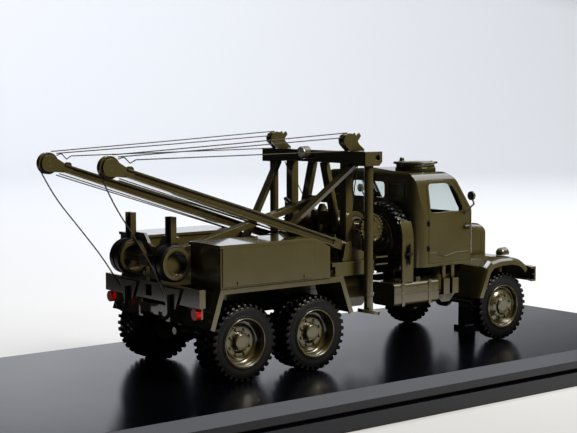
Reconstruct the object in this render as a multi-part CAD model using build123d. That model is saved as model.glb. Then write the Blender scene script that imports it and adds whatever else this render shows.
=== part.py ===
from build123d import *
import os
from math import cos, sin, pi, radians, sqrt, tan

# A 1:43 display model of a six-wheel army tow truck with two crane booms,
# screwed to a hollow display plinth. Millimetres. The truck is drawn with
# x = 0 at the front axle, +X forward, +Y to its left and z = 0 on the top
# of the plinth, and each piece is moved to the plinth's own frame when saved.

# Running gear
spare_to_cab = 2.1           # gaps and distances that place the rear of the truck
spare_to_deck = 1.6
deck_to_bogie = 48.285       # deck's front edge to the middle of the rear axles
bogie_spacing = 26.05        # middle axle to rear axle
wheel_radius = 11.33         # over the lugs
wheel_float = 0.08           # under the tyres, so that they turn freely
tyre_width = 4.8
tread_width = 3.6            # lugs and grooves
bead_radius = 7.25
lug_height = 0.95
lug_count = 18               # on each half of a tyre
lug_share = 0.56             # of the pitch
shoulder_share = 0.8         # sidewall's end radius, between bead and tread
front_tyre_face_y = 24.5     # outer face of a front tyre
rear_tyre_face_y = 26.4      # outer face of the outer rear tyre
twin_gap = 0.8
rim_wall = 0.5
rim_dish_thickness = 0.9
hub_radius = 2.7
front_disc_bulge = 0.9
rear_disc_depth = 3.1
stub_radius = 1.1
stub_fit = 0.05              # running clearance of a wheel on its stub
stub_end_gap = 0.3
hub_cap_thickness = 0.9
drum_radius = 4.6
drum_width = 1.7
drum_gap = 0.35
axle_tube_radius = 1.35
diff_radius = 3.3
diff_offset_y = 3.8
diff_width = 6.4
diff_flat_share = 0.4
nose_radius = 1.2
wheel_nut_count = 8
wheel_nut_radius = 0.38
wheel_nut_height = 0.35

# Chassis
rail_outer_y = 8.6
rail_web = 0.9
rail_flange = 2.3
rail_flange_thickness = 0.7
rail_bottom_z = 16.6
rail_top_z = 21.6
frame_front_x = 12.6
frame_behind_bogie = 27.115
crossmember_size = 1.8
crossmember_height = 3.4
crossmember_shares = [0.02, 0.19, 0.34, 0.49, 0.63, 0.73, 0.98]
spring_width = 2.0
spring_thickness = 1.7
front_spring_half_length = 12.2
spring_inner_y = 7.3          # clear of the differentials
rear_spring_rise = 2.0
shaft_radius = 0.75
shaft_gap = 0.2
joint_clearance = 0.05       # between two bodies that touch
engine_x_span = (-11.5, 0.6)
engine_half_width = 5.6
engine_z_span = (15.6, 25.6)
gearbox_length = 11.5
gearbox_half_width = 3.1
transfer_behind_cab = (14.0, 6.5)
transfer_half_width = 5.6
transfer_z_span = (13.9, 20.6)

# Plinth and what holds the truck on it
plinth_length = 260.0
plinth_width = 105.0
plinth_ahead_of_axle = 63.8
plinth_bevel = 3.0
plinth_side = 2.4
plinth_groove = 0.6
plinth_groove_depth = 0.7
plinth_ledge = 2.0
plinth_base = 4.5
plinth_deck = 2.2
plinth_wall = 2.2
front_post_x = 7.7
rear_post_ahead = 30.285      # of the bogie
post_length = 5.4
post_width = 3.2
post_foot_margin = 1.1
post_foot_height = 1.2
post_top_z = 12.0
post_bracket_margin = 0.2
boss_radius = 3.1
boss_height = 5.2
screw_radius = 1.0
screw_head_radius = 2.1
screw_head_height = 1.3
screw_reach = 5.5
screw_slot_width = 0.5
screw_slot_depth = 0.5
screw_fit = 0.1

# Cab and hood
cab_rear_x = -39.5
cab_front_x = -13.2
cab_half_width = 24.0
cab_bottom_z = 27.2
cab_roof_z = 58.6
cab_roof_drop = 1.3          # crown, from the middle to the roof's corner
cab_roof_inset = 2.1         # how far the sides lean in at the roof
cab_waist_z = 43.6
cab_roof_corner = 4.2
cab_rear_corner = 4.6
cab_front_corner = 3.2
cab_screen_base_z = 42.2
cab_screen_run = 9.6         # how far back the screen's line is at the roof
cab_brow_radius = 9.0
cab_scuttle_radius = 6.0      # where the screen's line meets the front
cab_nape_radius = 3.4
cab_wall = 0.9
glass_inset = 0.35
glass_thickness = 0.3
glass_fit = 0.04
side_window_bottom_z = 44.7
side_window_top_z = 54.0
side_window_rear_x = -33.4
side_window_front_x = -19.1
side_window_curve = [(6.3, 0.0), (3.6, 1.1), (1.4, 4.1), (0.0, 7.7)]    # behind its front, below its top
side_window_radius = 1.1
door_top_radius = 3.0
rear_window_half_width = 8.2
rear_window_drop = 4.3        # from the roof
rear_window_height = 5.2
rear_window_radius = 1.2
rear_frame_y_span = (9.9, 17.7)
rear_frame_raise = 0.25
rear_frame_band = 0.7
screen_half_post = 0.55
screen_outer_y = 18.6
screen_z_span = (44.0, 54.2)
screen_radius = 1.4
door_rear_x = -34.6
door_front_x = -15.4
door_bottom_z = 28.2
door_top_z = 55.2
door_groove = 0.22
door_groove_depth = 0.16
door_top_run = 6.6
door_radius = 1.4
hood_rear_half_width = 13.4
hood_front_half_width = 12.2
hood_rear_top_z = 40.0
hood_front_top_z = 38.3
hood_front_x = 4.0
hood_bottom_z = 27.5
hood_corner = 3.4
hood_nose_radius = 3.3
hood_wall = 0.8
hood_gap = 0.1
hood_panel_shares = [0.3, 0.86]     # upright panel lines, along its side
hood_panel_line = 0.22
hood_panel_depth = 0.2
grille_bar_count = 11
grille_margin = 1.3
grille_slot_share = 0.55
grille_thickness = 0.7
grille_top_drop = 3.0
radiator_thickness = 1.2
hatch_x = -28.0
hatch_y = -10.6
hatch_radius = 7.4
hatch_top_z = 61.0
hatch_knob_radius = 0.8
hatch_knob_height = 0.9
hatch_round = 0.7
seat_cushion_size = (8.6, 9.6, 2.6)
seat_back_height = 11.0
seat_back_thickness = 2.2
seat_centre_y = 12.6
seat_rear_gap = 2.6
seat_base_height = 7.4
dash_depth = 4.2
dash_height = 7.2
steering_radius = 4.4
steering_wire = 0.45
steering_tilt = 38.0
steering_centre_y = 12.6
column_radius = 0.5
mirror_centre = (-18.7, 27.4, 49.8)
mirror_radius = 1.45
mirror_thickness = 0.8
mirror_arm_radius = 0.28
mirror_foot_z = 44.2
handle_length = 2.6
handle_radius = 0.3
handle_stand_off = 0.7
handle_place = (-16.3, 39.7)

# Front end
fender_outer_y = 26.5
fender_inner_y = 13.9
fender_sheet = 0.8
fender_lip = 1.5
fender_lip_thickness = 0.6
# Corner points along a front fender's outer edge, (x, z), from its rear foot to its nose
fender_edge = [
    (-13.4, 15.4), (-9.5, 24.2), (-7.3, 26.3), (-3.1, 27.0), (2.5, 27.0), (6.2, 26.2), (8.7, 24.7),
    (9.7, 23.2),
]
fender_crown = 1.2            # rise of its top above the outer edge
fender_crown_points = [(0.0, 0.0), (0.9, 0.62), (2.4, 0.92), (4.6, 1.0)]    # in from the edge, share of rise
apron_thickness = 0.7
apron_bottom_z = 19.2
bumper_front_x = 16.6
bumper_sweep = 1.4
bumper_sweep_length = 3.4
bumper_half_length = 25.4
bumper_z_span = (18.8, 23.8)
bumper_flange_depth = 2.3
bumper_sheet = 0.7
lamp_centre = (3.4, 20.0)
lamp_radius = 1.75
lamp_length = 3.9
lamp_rise = 0.7               # above the fender's top
lamp_lens_gap = 0.06
lamp_lens_thickness = 0.5

# Between cab and deck
tank_past_cab_rear = (-11.0, 8.3)
tank_outer_y = 25.2
tank_inner_y = 14.8
tank_z_span = (15.9, 23.2)
tank_round = 1.3
tank_cap_radius = 1.2
tank_cap_height = 1.3
tank_cap_share = 0.62
step_past_cab_rear = [10.9, 14.9]
step_strap_width = 2.7
step_sheet = 0.6
step_outer_y = 26.3
step_z_span = (18.3, 25.9)
tray_past_cab_rear = (8.6, 17.0)
tray_z = 15.4
tray_height = 2.4
spare_y = -12.4
spare_z = 36.9
spare_stand_width = 2.2
carrier_past_spare = (-2.7, 2.0)
carrier_sheet = 0.7
carrier_gap = 0.35
carrier_latch_radius = 0.35
carrier_latch_length = 4.2

# Deck and rear end
deck_behind_bogie = 27.315
deck_top_z = 27.7
deck_thickness = 1.1
deck_half_width = 12.4
deck_beam_width = 2.2
rear_fender_outer_y = 26.85
# Distances past the bogie's middle, forwards
rear_fender_top_span = (-21.815, 23.385)
rear_fender_rear_foot = (-25.515, 16.4)
rear_fender_front_foot = (27.385, 16.6)
rear_fender_lip = 1.6
box_span = (-22.1, 17.885)
box_door_span = (-21.5, 11.185)
box_inner_y = 12.1
box_outer_y = 27.2
box_top_z = 40.2
box_nose_top_z = 37.2
box_gap = 0.1
box_lid_thickness = 0.9
box_lid_reach = 0.35
box_door_raise = 0.25
box_lip_raise = 0.55
box_lip_height = 0.5
box_latch_size = 0.7
rear_plate_offset = -28.415
rear_plate_sheet = 0.9
rear_plate_half_width = 25.85
rear_plate_rise = 0.2        # above the deck
rear_plate_height = 5.3
rear_plate_return = 2.0
hitch_slot_half = 1.6
hitch_slot_y = 0.9
hook_plate_y = 11.8
hook_plate_half_top = 5.2
hook_plate_half_low = 2.3
hook_plate_thickness = 0.5
hook_plate_drop = 0.7        # below the rear plate's top
hook_plate_height = 6.0
hook_wire = 0.55
hook_bend_radius = 1.5
tail_lamp_offset = -27.915
tail_lamp_y = 23.3
tail_lamp_z = 20.8
tail_lamp_radius = 1.7
tail_lamp_length = 1.3
tail_lamp_bracket = 0.7
roller_offset = -28.615
roller_gap = 1.1             # above the rear plate
roller_radius = 5.3
roller_y_span = (8.6, 14.8)
roller_groove = 0.8
roller_groove_depth = 0.6
roller_rib_count = 2
roller_cap_radius = 4.5
roller_flange = 0.5          # width of the olive ring at each face
roller_cap_depth = 2.4
roller_core_radius = 1.1
yoke_offset = -27.115
yoke_thickness = 1.0
# Corner points of one half of the yoke, from the foot of its stem round to the bottom of its notch: across
# from the middle, and up from the deck
yoke_points = [
    (2.3, 0.05), (2.3, 5.3), (3.2, 7.7), (5.2, 9.9), (6.9, 11.7), (12.6, 11.9), (12.6, 14.0),
    (5.4, 14.0), (4.3, 12.9), (3.0, 11.2), (1.3, 10.35), (0.0, 10.2),
]
yoke_arm_half_width = 2.4
stake_y = 11.0
stake_width = 3.1
stake_depth = 1.9
stake_wall = 0.6
stake_gap = 0.2              # above the rollers
stake_height = 7.8

# Gantry
gantry_behind_deck_front = 14.0
beam_depth = 3.2
beam_height = 3.8
beam_centre_z = 63.2
beam_half_length = 26.2
beam_lug_length = 3.7
beam_lug_gap = 0.15           # from the struts' heads
beam_lug_drop = 0.6
beam_lug_chamfer = 1.2
beam_lug_hole = 0.95
leg_past_gantry = 1.7
leg_y = 24.0
leg_radius = 1.45
leg_foot_z = 15.4
leg_ring_z = 20.5
leg_ring_height = 0.8
leg_ring_margin = 0.35
foot_radius = 3.5
foot_thickness = 1.1
foot_tilt = 12.0
post_past_gantry = 1.4
post_y = 13.7
post_side = 2.8
frame_apex_half = 2.9
frame_foot_half = 11.6
frame_tie_z = 49.3
frame_tie_height = 2.0
frame_leg_width = 3.0
frame_leg_depth = 1.6
strut_top_y = 19.4
strut_foot_y = 2.4
strut_run = 32.0
strut_width = 2.9
strut_depth = 1.1
spine_end_z = 34.2
spine_width = 3.2
spine_depth = 1.8
sheave_past_gantry = -2.2
sheave_y = 18.5
sheave_rise = 3.1            # above the beam
sheave_radius = 2.3
sheave_thickness = 1.3
sheave_groove = 0.45
cheek_thickness = 0.6
cheek_gap = 0.15
# Corner points of a sheave's cheek plate, from the back of its foot: past the beam's middle, and above it
cheek_points = [
    (-2.0, 0.05), (-3.4, 1.2), (-4.5, 2.3), (-4.75, 3.7), (-4.0, 5.0), (-2.3, 5.6), (-0.9, 5.35),
    (-0.1, 4.9), (0.7, 5.0), (1.5, 5.6), (2.1, 4.7), (1.4, 3.8), (0.8, 3.1), (1.4, 2.2), (2.8, 1.1),
    (3.5, 0.6), (3.5, 0.05),
]
work_lamp_y = 1.8
work_lamp_rise = 1.0         # above the beam's middle
work_lamp_radius = 2.0
work_lamp_length = 2.3
winch_drum_radius = 2.6
winch_flange_radius = 4.7
winch_flange_thickness = 0.7
winch_behind_deck_front = 7.2
winch_z = 40.9
winch_half_length = 13.2
winch_pedestal_width = 1.8

# Booms
boom_y = 17.5
boom_foot_behind_gantry = 2.5
boom_foot_z = 35.5
boom_tip_behind_bogie = 52.115
boom_tip_z = 62.7
boom_width = 3.0
boom_end_depth = 2.5
boom_mid_depth = 3.1
boom_flange = 0.45           # thickness of the bands along its top and bottom
boom_flange_reach = 0.25     # how far they stand out past its web
boom_root_share = 0.06
boom_mid_share = 0.45
boom_nose_share = 0.95
boom_eye_radius = 1.5
boom_eye_width = 1.8
boom_pin_radius = 0.7
boom_pin_fit = 0.05
tip_sheave_radius = 3.2
tip_sheave_thickness = 1.5
tip_cheek_thickness = 0.6
tip_cheek_radius = 2.5
bracket_gap = 0.15
bracket_ear_thickness = 1.0
# Corner points of a boom bracket's ear, from its rear foot: past the boom's foot pin, and above the bed
bracket_points = [(-2.6, 0.0), (-1.5, 4.45), (1.5, 4.45), (3.4, 3.5), (8.4, 2.0), (9.3, 1.0), (9.3, 0.0)]
rope_lug_share = 0.925
rope_lug_height = 1.0
rope_lug_radius = 0.6

# Ropes
rope_radius = 0.22
bend_share = 0.45            # of the shorter run at each corner
# Corner points of a hoist rope on the left, from the tip pulley down to its hook, behind the bogie's middle
hoist_route = [
    (54.815, 17.5, 61.4), (51.315, 16.9, 53.9), (43.015, 15.3, 43.2),
    (35.315, 13.5, 32.8), (31.415, 11.9, 25.4),
]
overrun = 1.0                # how far a cutter passes its work

# Sizes shared by several pieces
right_angle = 90.0
rim_slope_run = 1.6
wheel_nut_gap = 1.0
front_disc_depth = 1.3
front_cap_reach = 0.2
rear_cap_reach = 1.7
hub_inner_recess = 0.5
cab_mount_size = 2.6
grille_rim = 0.6
hatch_lid_height = 1.5
hatch_ring_inset = 0.5
fender_stay_radius = 0.6
lens_share = 0.86
tank_bracket_shares = [0.2, 0.8]
step_plate_share = 0.66
step_tread_depth = 1.9
spare_stand_sheet = 0.8
pin_reach = 2.6
carrier_top_z = 42.6
carrier_latch_z = 30.4
box_latch_shares = [0.16, 0.9]
hook_bottom_z = 18.6
hook_bend_angle = 200.0
bed_top_z = 31.0
bed_thickness = 1.2
bed_half_width = 20.2
bed_neck_half_width = 14.0
bed_behind_foot = 7.2          # the booms' foot pins
bed_past_foot = 10.0
bed_skirt_bottom_z = 26.6
bed_web_y = 6.2
winch_gear_half = 4.0
winch_drum_outer = 11.0
tip_slot_gap = 0.35

spare_x = cab_rear_x - spare_to_cab - tyre_width / 2
deck_front_x = spare_x - tyre_width / 2 - spare_to_deck
bogie_x = deck_front_x - deck_to_bogie
mid_axle_x = bogie_x + bogie_spacing / 2
rear_axle_x = bogie_x - bogie_spacing / 2
deck_rear_x = bogie_x - deck_behind_bogie
frame_rear_x = bogie_x - frame_behind_bogie
rear_plate_x = bogie_x + rear_plate_offset
tail_lamp_x = bogie_x + tail_lamp_offset
roller_x = bogie_x + roller_offset
rear_plate_top_z = deck_top_z + rear_plate_rise
rear_plate_z_span = (rear_plate_top_z - rear_plate_height, rear_plate_top_z)
hook_plate_top_z = rear_plate_top_z - hook_plate_drop
hook_plate_z_span = (hook_plate_top_z - hook_plate_height, hook_plate_top_z)
roller_z = rear_plate_top_z + roller_gap + roller_radius
stake_bottom_z = roller_z + roller_radius + stake_gap
stake_z_span = (stake_bottom_z, stake_bottom_z + stake_height)
yoke_x = bogie_x + yoke_offset
gantry_x = deck_front_x - gantry_behind_deck_front
leg_x = gantry_x + leg_past_gantry
upright_x = gantry_x + post_past_gantry
sheave_x = gantry_x + sheave_past_gantry
winch_x = deck_front_x - winch_behind_deck_front
boom_foot = (gantry_x - boom_foot_behind_gantry, boom_foot_z)
boom_tip = (bogie_x - boom_tip_behind_bogie, boom_tip_z)
post_x_places = [front_post_x, bogie_x + rear_post_ahead]
transfer_x_span = tuple(cab_rear_x - distance for distance in transfer_behind_cab)
tank_x_span = tuple(cab_rear_x + distance for distance in tank_past_cab_rear)
tray_x_span = tuple(cab_rear_x + distance for distance in tray_past_cab_rear)
step_places = [cab_rear_x + distance for distance in step_past_cab_rear]
carrier_x_span = tuple(spare_x + distance for distance in carrier_past_spare)
box_x_span = tuple(bogie_x + distance for distance in box_span)
box_door_x_span = tuple(bogie_x + distance for distance in box_door_span)
rear_window_z_span = (cab_roof_z - rear_window_drop - rear_window_height, cab_roof_z - rear_window_drop)
fender_top_z = max(z for x, z in fender_edge) + fender_crown
lamp_centre_z = fender_top_z + lamp_rise
axle_z = wheel_radius + wheel_float
plinth_centre_x = plinth_ahead_of_axle - plinth_length / 2
plinth_height = plinth_bevel + plinth_side + plinth_groove + plinth_base
to_plinth_frame = Location((-plinth_centre_x, 0, plinth_height))


def block(x_span, y_span, z_span):
    """A box between pairs of limits."""
    (x0, x1), (y0, y1), (z0, z1) = x_span, y_span, z_span
    return Pos((x0 + x1) / 2, (y0 + y1) / 2, (z0 + z1) / 2) * Box(x1 - x0, y1 - y0, z1 - z0)


def around(centre, half):
    """Limits at an equal distance each side of a centre."""
    return (centre - half, centre + half)


def side_plate(outline, y0, y1):
    """A closed outline of (x, z) points, filled from y0 to y1."""
    return extrude(Plane.XZ.offset(-y0) * make_face(Polyline(*outline, close=True)), amount=y0 - y1)


def end_plate(outline, x0, x1):
    """A closed outline of (y, z) points, filled from x0 to x1."""
    return extrude(Plane.YZ.offset(x0) * make_face(Polyline(*outline, close=True)), amount=x1 - x0)


def rod(start, end, radius):
    """A round bar from start to end."""
    axis = Vector(end) - Vector(start)
    return extrude(Plane(origin=start, z_dir=axis) * Circle(radius), amount=axis.length)


def bar(start, end, across, width, depth):
    """A flat bar from start to end, its width measured along the direction across."""
    axis = Vector(end) - Vector(start)
    return extrude(Plane(origin=start, x_dir=across, z_dir=axis) * Rectangle(width, depth),
                   amount=axis.length)


def ring_y(profile, x, y, z):
    """A profile of (radius, distance along Y) points turned about a line along Y."""
    solid = revolve(make_face(Polyline(*profile, close=True)), axis=Axis.Y)
    return Pos(x, y, z) * solid


def ribbon(path, thickness):
    """The outline of a sheet whose upper side follows path, in the (x, z) plane."""
    inner = []
    for index, point in enumerate(path):
        before = Vector(*path[max(index - 1, 0)])
        after = Vector(*path[min(index + 1, len(path) - 1)])
        here = Vector(*point)
        first = (here - before) if index > 0 else (after - here)
        second = (after - here) if index < len(path) - 1 else first
        first, second = first.normalized(), second.normalized()
        bisector = (first + second).normalized()
        reach = thickness / bisector.dot(first)
        inner.append((point[0] + bisector.Y * reach, point[1] - bisector.X * reach))
    return list(path) + inner[::-1]


def at_height(start, end, z):
    """The point at height z on the line through two (x, z) points."""
    share = (z - start[1]) / (end[1] - start[1])
    return (start[0] + share * (end[0] - start[0]), z)


def pair(shape):
    """A piece and its mirror image on the other side of the truck."""
    return Compound([*shape.solids(), *mirror(shape, about=Plane.XZ).solids()])


def joined(shapes):
    """Several solids made one."""
    total = shapes[0]
    for shape in shapes[1:]:
        total = total + shape
    return total


def gathered(shapes):
    """Separate solids kept side by side in one node."""
    return Compound([solid for shape in shapes for solid in shape.solids()])


def save(name, shape):
    export_step(to_plinth_frame * Compound([*shape.solids()]), f"parts/{name}.step")


# Plinth

def plinth():
    half_length = plinth_length / 2 + plinth_bevel
    half_width = plinth_width / 2 + plinth_bevel
    slab_bottom = -plinth_bevel - plinth_side
    base_top = slab_bottom - plinth_groove
    slab = block(around(plinth_centre_x, half_length), around(0, half_width), (slab_bottom, 0))
    slab = chamfer(slab.faces().sort_by(Axis.Z)[-1].edges(), plinth_bevel)
    neck = block(around(plinth_centre_x, half_length - plinth_groove_depth),
                 around(0, half_width - plinth_groove_depth), (base_top, slab_bottom))
    base = block(around(plinth_centre_x, half_length + plinth_ledge),
                 around(0, half_width + plinth_ledge), (-plinth_height, base_top))
    hollow = block(around(plinth_centre_x, plinth_length / 2),
                   around(0, plinth_width / 2), (-plinth_height, -plinth_deck))
    skirt = block(around(plinth_centre_x, half_length + plinth_ledge - plinth_wall),
                  around(0, half_width + plinth_ledge - plinth_wall),
                  (-plinth_height, base_top - plinth_wall))
    shell = slab + neck + base - hollow - skirt
    for x in post_x_places:
        boss = rod((x, 0, -plinth_deck - boss_height), (x, 0, -plinth_deck), boss_radius)
        hole = rod((x, 0, -plinth_height), (x, 0, 0), screw_radius + screw_fit)
        shell = shell + boss - hole
    return shell


def mount_posts():
    posts = []
    for x in post_x_places:
        column = block(around(x, post_length / 2), around(0, post_width / 2), (0, post_top_z))
        foot = block(around(x, post_length / 2 + post_foot_margin),
                     around(0, post_width / 2 + post_foot_margin), (0, post_foot_height))
        hole = rod((x, 0, 0), (x, 0, screw_reach + screw_fit), screw_radius + screw_fit)
        posts.append(column + foot - hole)
    return Compound([solid for post in posts for solid in post.solids()])


def plinth_screws():
    screws = []
    head_top = -plinth_deck - boss_height
    for x in post_x_places:
        shank = rod((x, 0, head_top), (x, 0, screw_reach), screw_radius)
        head = rod((x, 0, head_top - screw_head_height), (x, 0, head_top), screw_head_radius)
        slot = block(around(x, screw_head_radius), around(0, screw_slot_width / 2),
                     (head_top - screw_head_height, head_top - screw_head_height + screw_slot_depth))
        screws.append(shank + head - slot)
    return Compound([solid for screw in screws for solid in screw.solids()])


# Chassis

def chassis_frame():
    rails = []
    for side in (-1, 1):
        outer, inner = side * rail_outer_y, side * (rail_outer_y - rail_web)
        web = block((frame_rear_x, frame_front_x), sorted((outer, inner)), (rail_bottom_z, rail_top_z))
        rails.append(web)
        lip = side * (rail_outer_y - rail_flange)
        for low in (rail_bottom_z, rail_top_z - rail_flange_thickness):
            rails.append(block((frame_rear_x, frame_front_x), sorted((outer, lip)),
                               (low, low + rail_flange_thickness)))
    middle_z = (rail_bottom_z + rail_top_z) / 2
    for share in crossmember_shares:
        x = frame_rear_x + share * (frame_front_x - frame_rear_x)
        rails.append(block(around(x, crossmember_size / 2), around(0, rail_outer_y - rail_web / 2),
                           around(middle_z, crossmember_height / 2)))
    for x in post_x_places:
        half_length = post_length / 2 + post_bracket_margin
        rails.append(block(around(x, half_length), around(0, post_width / 2 + post_bracket_margin),
                           (post_top_z, rail_bottom_z + rail_flange_thickness)))
        rails.append(block(around(x, half_length), around(0, rail_outer_y - rail_web / 2),
                           (rail_bottom_z, rail_bottom_z + rail_flange_thickness)))
    return joined(rails)


def axle(x, stub_end_y, drum_y):
    """An axle with its offset differential, brake drums and wheel stubs, turned about its own line."""
    drum_face_y = drum_y + drum_width
    flat, flank = diff_width / 2 * diff_flat_share, diff_width / 2
    profile = [
        (0, -stub_end_y), (stub_radius, -stub_end_y), (stub_radius, -drum_face_y),
        (drum_radius, -drum_face_y),
        (drum_radius, -drum_y), (axle_tube_radius, -drum_y), (axle_tube_radius, diff_offset_y - flank),
        (diff_radius, diff_offset_y - flat), (diff_radius, diff_offset_y + flat),
        (axle_tube_radius, diff_offset_y + flank), (axle_tube_radius, drum_y), (drum_radius, drum_y),
        (drum_radius, drum_face_y), (stub_radius, drum_face_y), (stub_radius, stub_end_y), (0, stub_end_y),
    ]
    turned = ring_y(profile, x, 0, axle_z)
    reach = diff_radius + axle_tube_radius
    nose = rod((x - reach, diff_offset_y, axle_z), (x + reach, diff_offset_y, axle_z), nose_radius)
    return turned + nose


def front_springs():
    """A leaf pack under each rail, curved down to the front axle."""
    low = axle_z + axle_tube_radius
    eye_z = rail_bottom_z - spring_thickness / 2
    length = front_spring_half_length
    upper = ThreePointArc((-length, eye_z), (0, low + spring_thickness), (length, eye_z))
    lower = ThreePointArc((length, eye_z - spring_thickness), (0, low), (-length, eye_z - spring_thickness))
    ends = [Line(upper @ 1, lower @ 0), Line(lower @ 1, upper @ 0)]
    face = make_face(Curve() + [upper, lower, *ends])
    y0 = spring_inner_y
    pack = extrude(Plane.XZ.offset(-y0) * face, amount=-spring_width)
    for x in (-length, length):
        hanger = block(around(x, spring_thickness / 2), (y0, y0 + spring_width),
                       (eye_z - spring_thickness, rail_bottom_z))
        pack = pack + hanger
    return pair(pack)


def rear_springs():
    """An inverted leaf pack across the two rear axles, pivoted under the rail."""
    middle_x = (mid_axle_x + rear_axle_x) / 2
    seat_z = axle_z + axle_tube_radius
    half = bogie_spacing / 2 + axle_tube_radius
    top_z = seat_z + rear_spring_rise
    lower = ThreePointArc((middle_x - half, seat_z), (middle_x, top_z), (middle_x + half, seat_z))
    upper = ThreePointArc((middle_x + half, seat_z + spring_thickness / 2),
                          (middle_x, top_z + spring_thickness),
                          (middle_x - half, seat_z + spring_thickness / 2))
    face = make_face(Curve() + [lower, upper, Line(lower @ 1, upper @ 0), Line(upper @ 1, lower @ 0)])
    y0 = spring_inner_y
    pack = extrude(Plane.XZ.offset(-y0) * face, amount=-spring_width)
    hanger = block(around(middle_x, spring_width), (y0, y0 + spring_width), (top_z, rail_bottom_z))
    return pair(pack + hanger)


def drive_shafts():
    """Shafts from the transfer box to each axle's nose."""
    reach = diff_radius + axle_tube_radius
    y = diff_offset_y
    transfer_z = (transfer_z_span[0] + transfer_z_span[1]) / 2
    runs = [
        ((transfer_x_span[1], y, transfer_z), (-reach, y, axle_z)),
        ((transfer_x_span[0], y, transfer_z), (mid_axle_x + reach, y, axle_z)),
        ((mid_axle_x - reach, y, axle_z), (rear_axle_x + reach, y, axle_z)),
    ]
    shafts = []
    for start, end in runs:
        along = (Vector(end) - Vector(start)).normalized() * shaft_gap
        shafts.append(rod(Vector(start) + along, Vector(end) - along, shaft_radius))
    return Compound([solid for shaft in shafts for solid in shaft.solids()])


def engine():
    block_part = block(engine_x_span, around(0, engine_half_width), engine_z_span)
    middle = (engine_z_span[0] + engine_z_span[1]) / 2
    gearbox = block((engine_x_span[0] - gearbox_length, engine_x_span[0]), around(0, gearbox_half_width),
                    around(middle - gearbox_half_width / 2, gearbox_half_width))
    return block_part + gearbox


def transfer_box():
    body = block(transfer_x_span, around(0, transfer_half_width), transfer_z_span)
    return fillet(body.edges().filter_by(Axis.Y), gearbox_half_width / 2)


# Wheels

def toothed(radius, root, count, turn):
    """A closed outline with one tooth for each lug, in the wheel's own plane."""
    points = []
    pitch = 2 * pi / count
    for index in range(count):
        start = index * pitch + turn
        for angle, reach in ((0, radius), (lug_share, radius), (lug_share, root), (1, root)):
            points.append((reach * cos(start + angle * pitch), reach * sin(start + angle * pitch)))
    return make_face(Polyline(*points, close=True))


def polygon(radius, count, turn):
    points = []
    for index in range(count):
        angle = 2 * pi * index / count + turn
        points.append((radius * cos(angle), radius * sin(angle)))
    return make_face(Polyline(*points, close=True))


def tyre(lugged=True):
    """A tyre about the local Z axis, its middle at z = 0, its lugs in two staggered rows."""
    half_tread, half_width = tread_width / 2, tyre_width / 2
    root = wheel_radius - lug_height
    pitch = 2 * pi / lug_count
    wall_radius = bead_radius + shoulder_share * (root - bead_radius)
    halves = []
    for side in (0, 1):
        turn = side * pitch / 2
        if lugged:
            tread = extrude(toothed(wheel_radius, root, lug_count, turn), amount=half_tread)
        else:
            tread = extrude(polygon(wheel_radius - lug_height / 2, lug_count, turn), amount=half_tread)
        wall = loft([Plane.XY.offset(half_tread) * polygon(root * cos(pitch / 2), lug_count, turn),
                     Plane.XY.offset(half_width) * polygon(wall_radius, lug_count, turn)], ruled=True)
        half = tread + wall
        halves.append(half if side == 0 else mirror(half, about=Plane.XY))
    bore = extrude(polygon(bead_radius, lug_count, 0), amount=tyre_width, both=True)
    return halves[0] + halves[1] - bore


def rim_profile(width, length, disc, disc_rise, cap, hub_inner):
    """Half section of a wheel as (radius, distance outwards from the outer tyre's middle) points."""
    outer_end, inner_end = width / 2, width / 2 - length
    bead = bead_radius * cos(pi / lug_count) - joint_clearance
    barrel = bead - rim_wall
    slope = barrel - rim_slope_run
    return [
        (bead, outer_end), (bead, inner_end), (barrel, inner_end),
        (barrel, disc - rim_dish_thickness), (slope, disc - rim_dish_thickness + disc_rise),
        (hub_radius, disc - rim_dish_thickness + disc_rise), (hub_radius, hub_inner), (0, hub_inner),
        (0, cap), (hub_radius, cap), (hub_radius, disc + disc_rise), (slope, disc + disc_rise),
        (barrel, disc), (barrel, outer_end),
    ]


def wheel_rim(length, disc, disc_rise, cap, hub_inner):
    """A turned wheel with a ring of nuts and, where it has a hub, a blind bore from the inner side."""
    profile = rim_profile(tyre_width, length, disc, disc_rise, cap, hub_inner)
    rim = revolve(Plane.XZ * make_face(Polyline(*profile, close=True)), axis=Axis.Z)
    for index in range(wheel_nut_count):
        angle = 2 * pi * index / wheel_nut_count
        radius = hub_radius + wheel_nut_gap
        nut = Pos(radius * cos(angle), radius * sin(angle), disc + disc_rise) * Cylinder(
            wheel_nut_radius, 2 * wheel_nut_height)
        rim = rim + nut
    bore_end = cap - hub_cap_thickness
    bore = Pos(0, 0, (hub_inner + bore_end) / 2) * Cylinder(stub_radius + stub_fit, bore_end - hub_inner)
    return rim - bore


def wheel_places():
    """Name, x, side, tyre face and whether the wheel is a twin."""
    table = []
    for side, side_name in ((1, "left"), (-1, "right")):
        table.append((f"front_{side_name}", 0, side, front_tyre_face_y, False))
        table.append((f"middle_{side_name}", mid_axle_x, side, rear_tyre_face_y, True))
        table.append((f"rear_{side_name}", rear_axle_x, side, rear_tyre_face_y, True))
    return table


front_disc = tyre_width / 2 - front_disc_depth
front_cap = tyre_width / 2 + front_cap_reach
front_hub_inner = -tyre_width / 2 + hub_inner_recess
rear_disc = tyre_width / 2 - rear_disc_depth
rear_cap = rear_disc + rear_cap_reach
twin_length = 2 * tyre_width + twin_gap
rear_hub_inner = tyre_width / 2 - twin_length + hub_inner_recess
front_centre_y = front_tyre_face_y - tyre_width / 2
rear_centre_y = rear_tyre_face_y - tyre_width / 2


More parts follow.
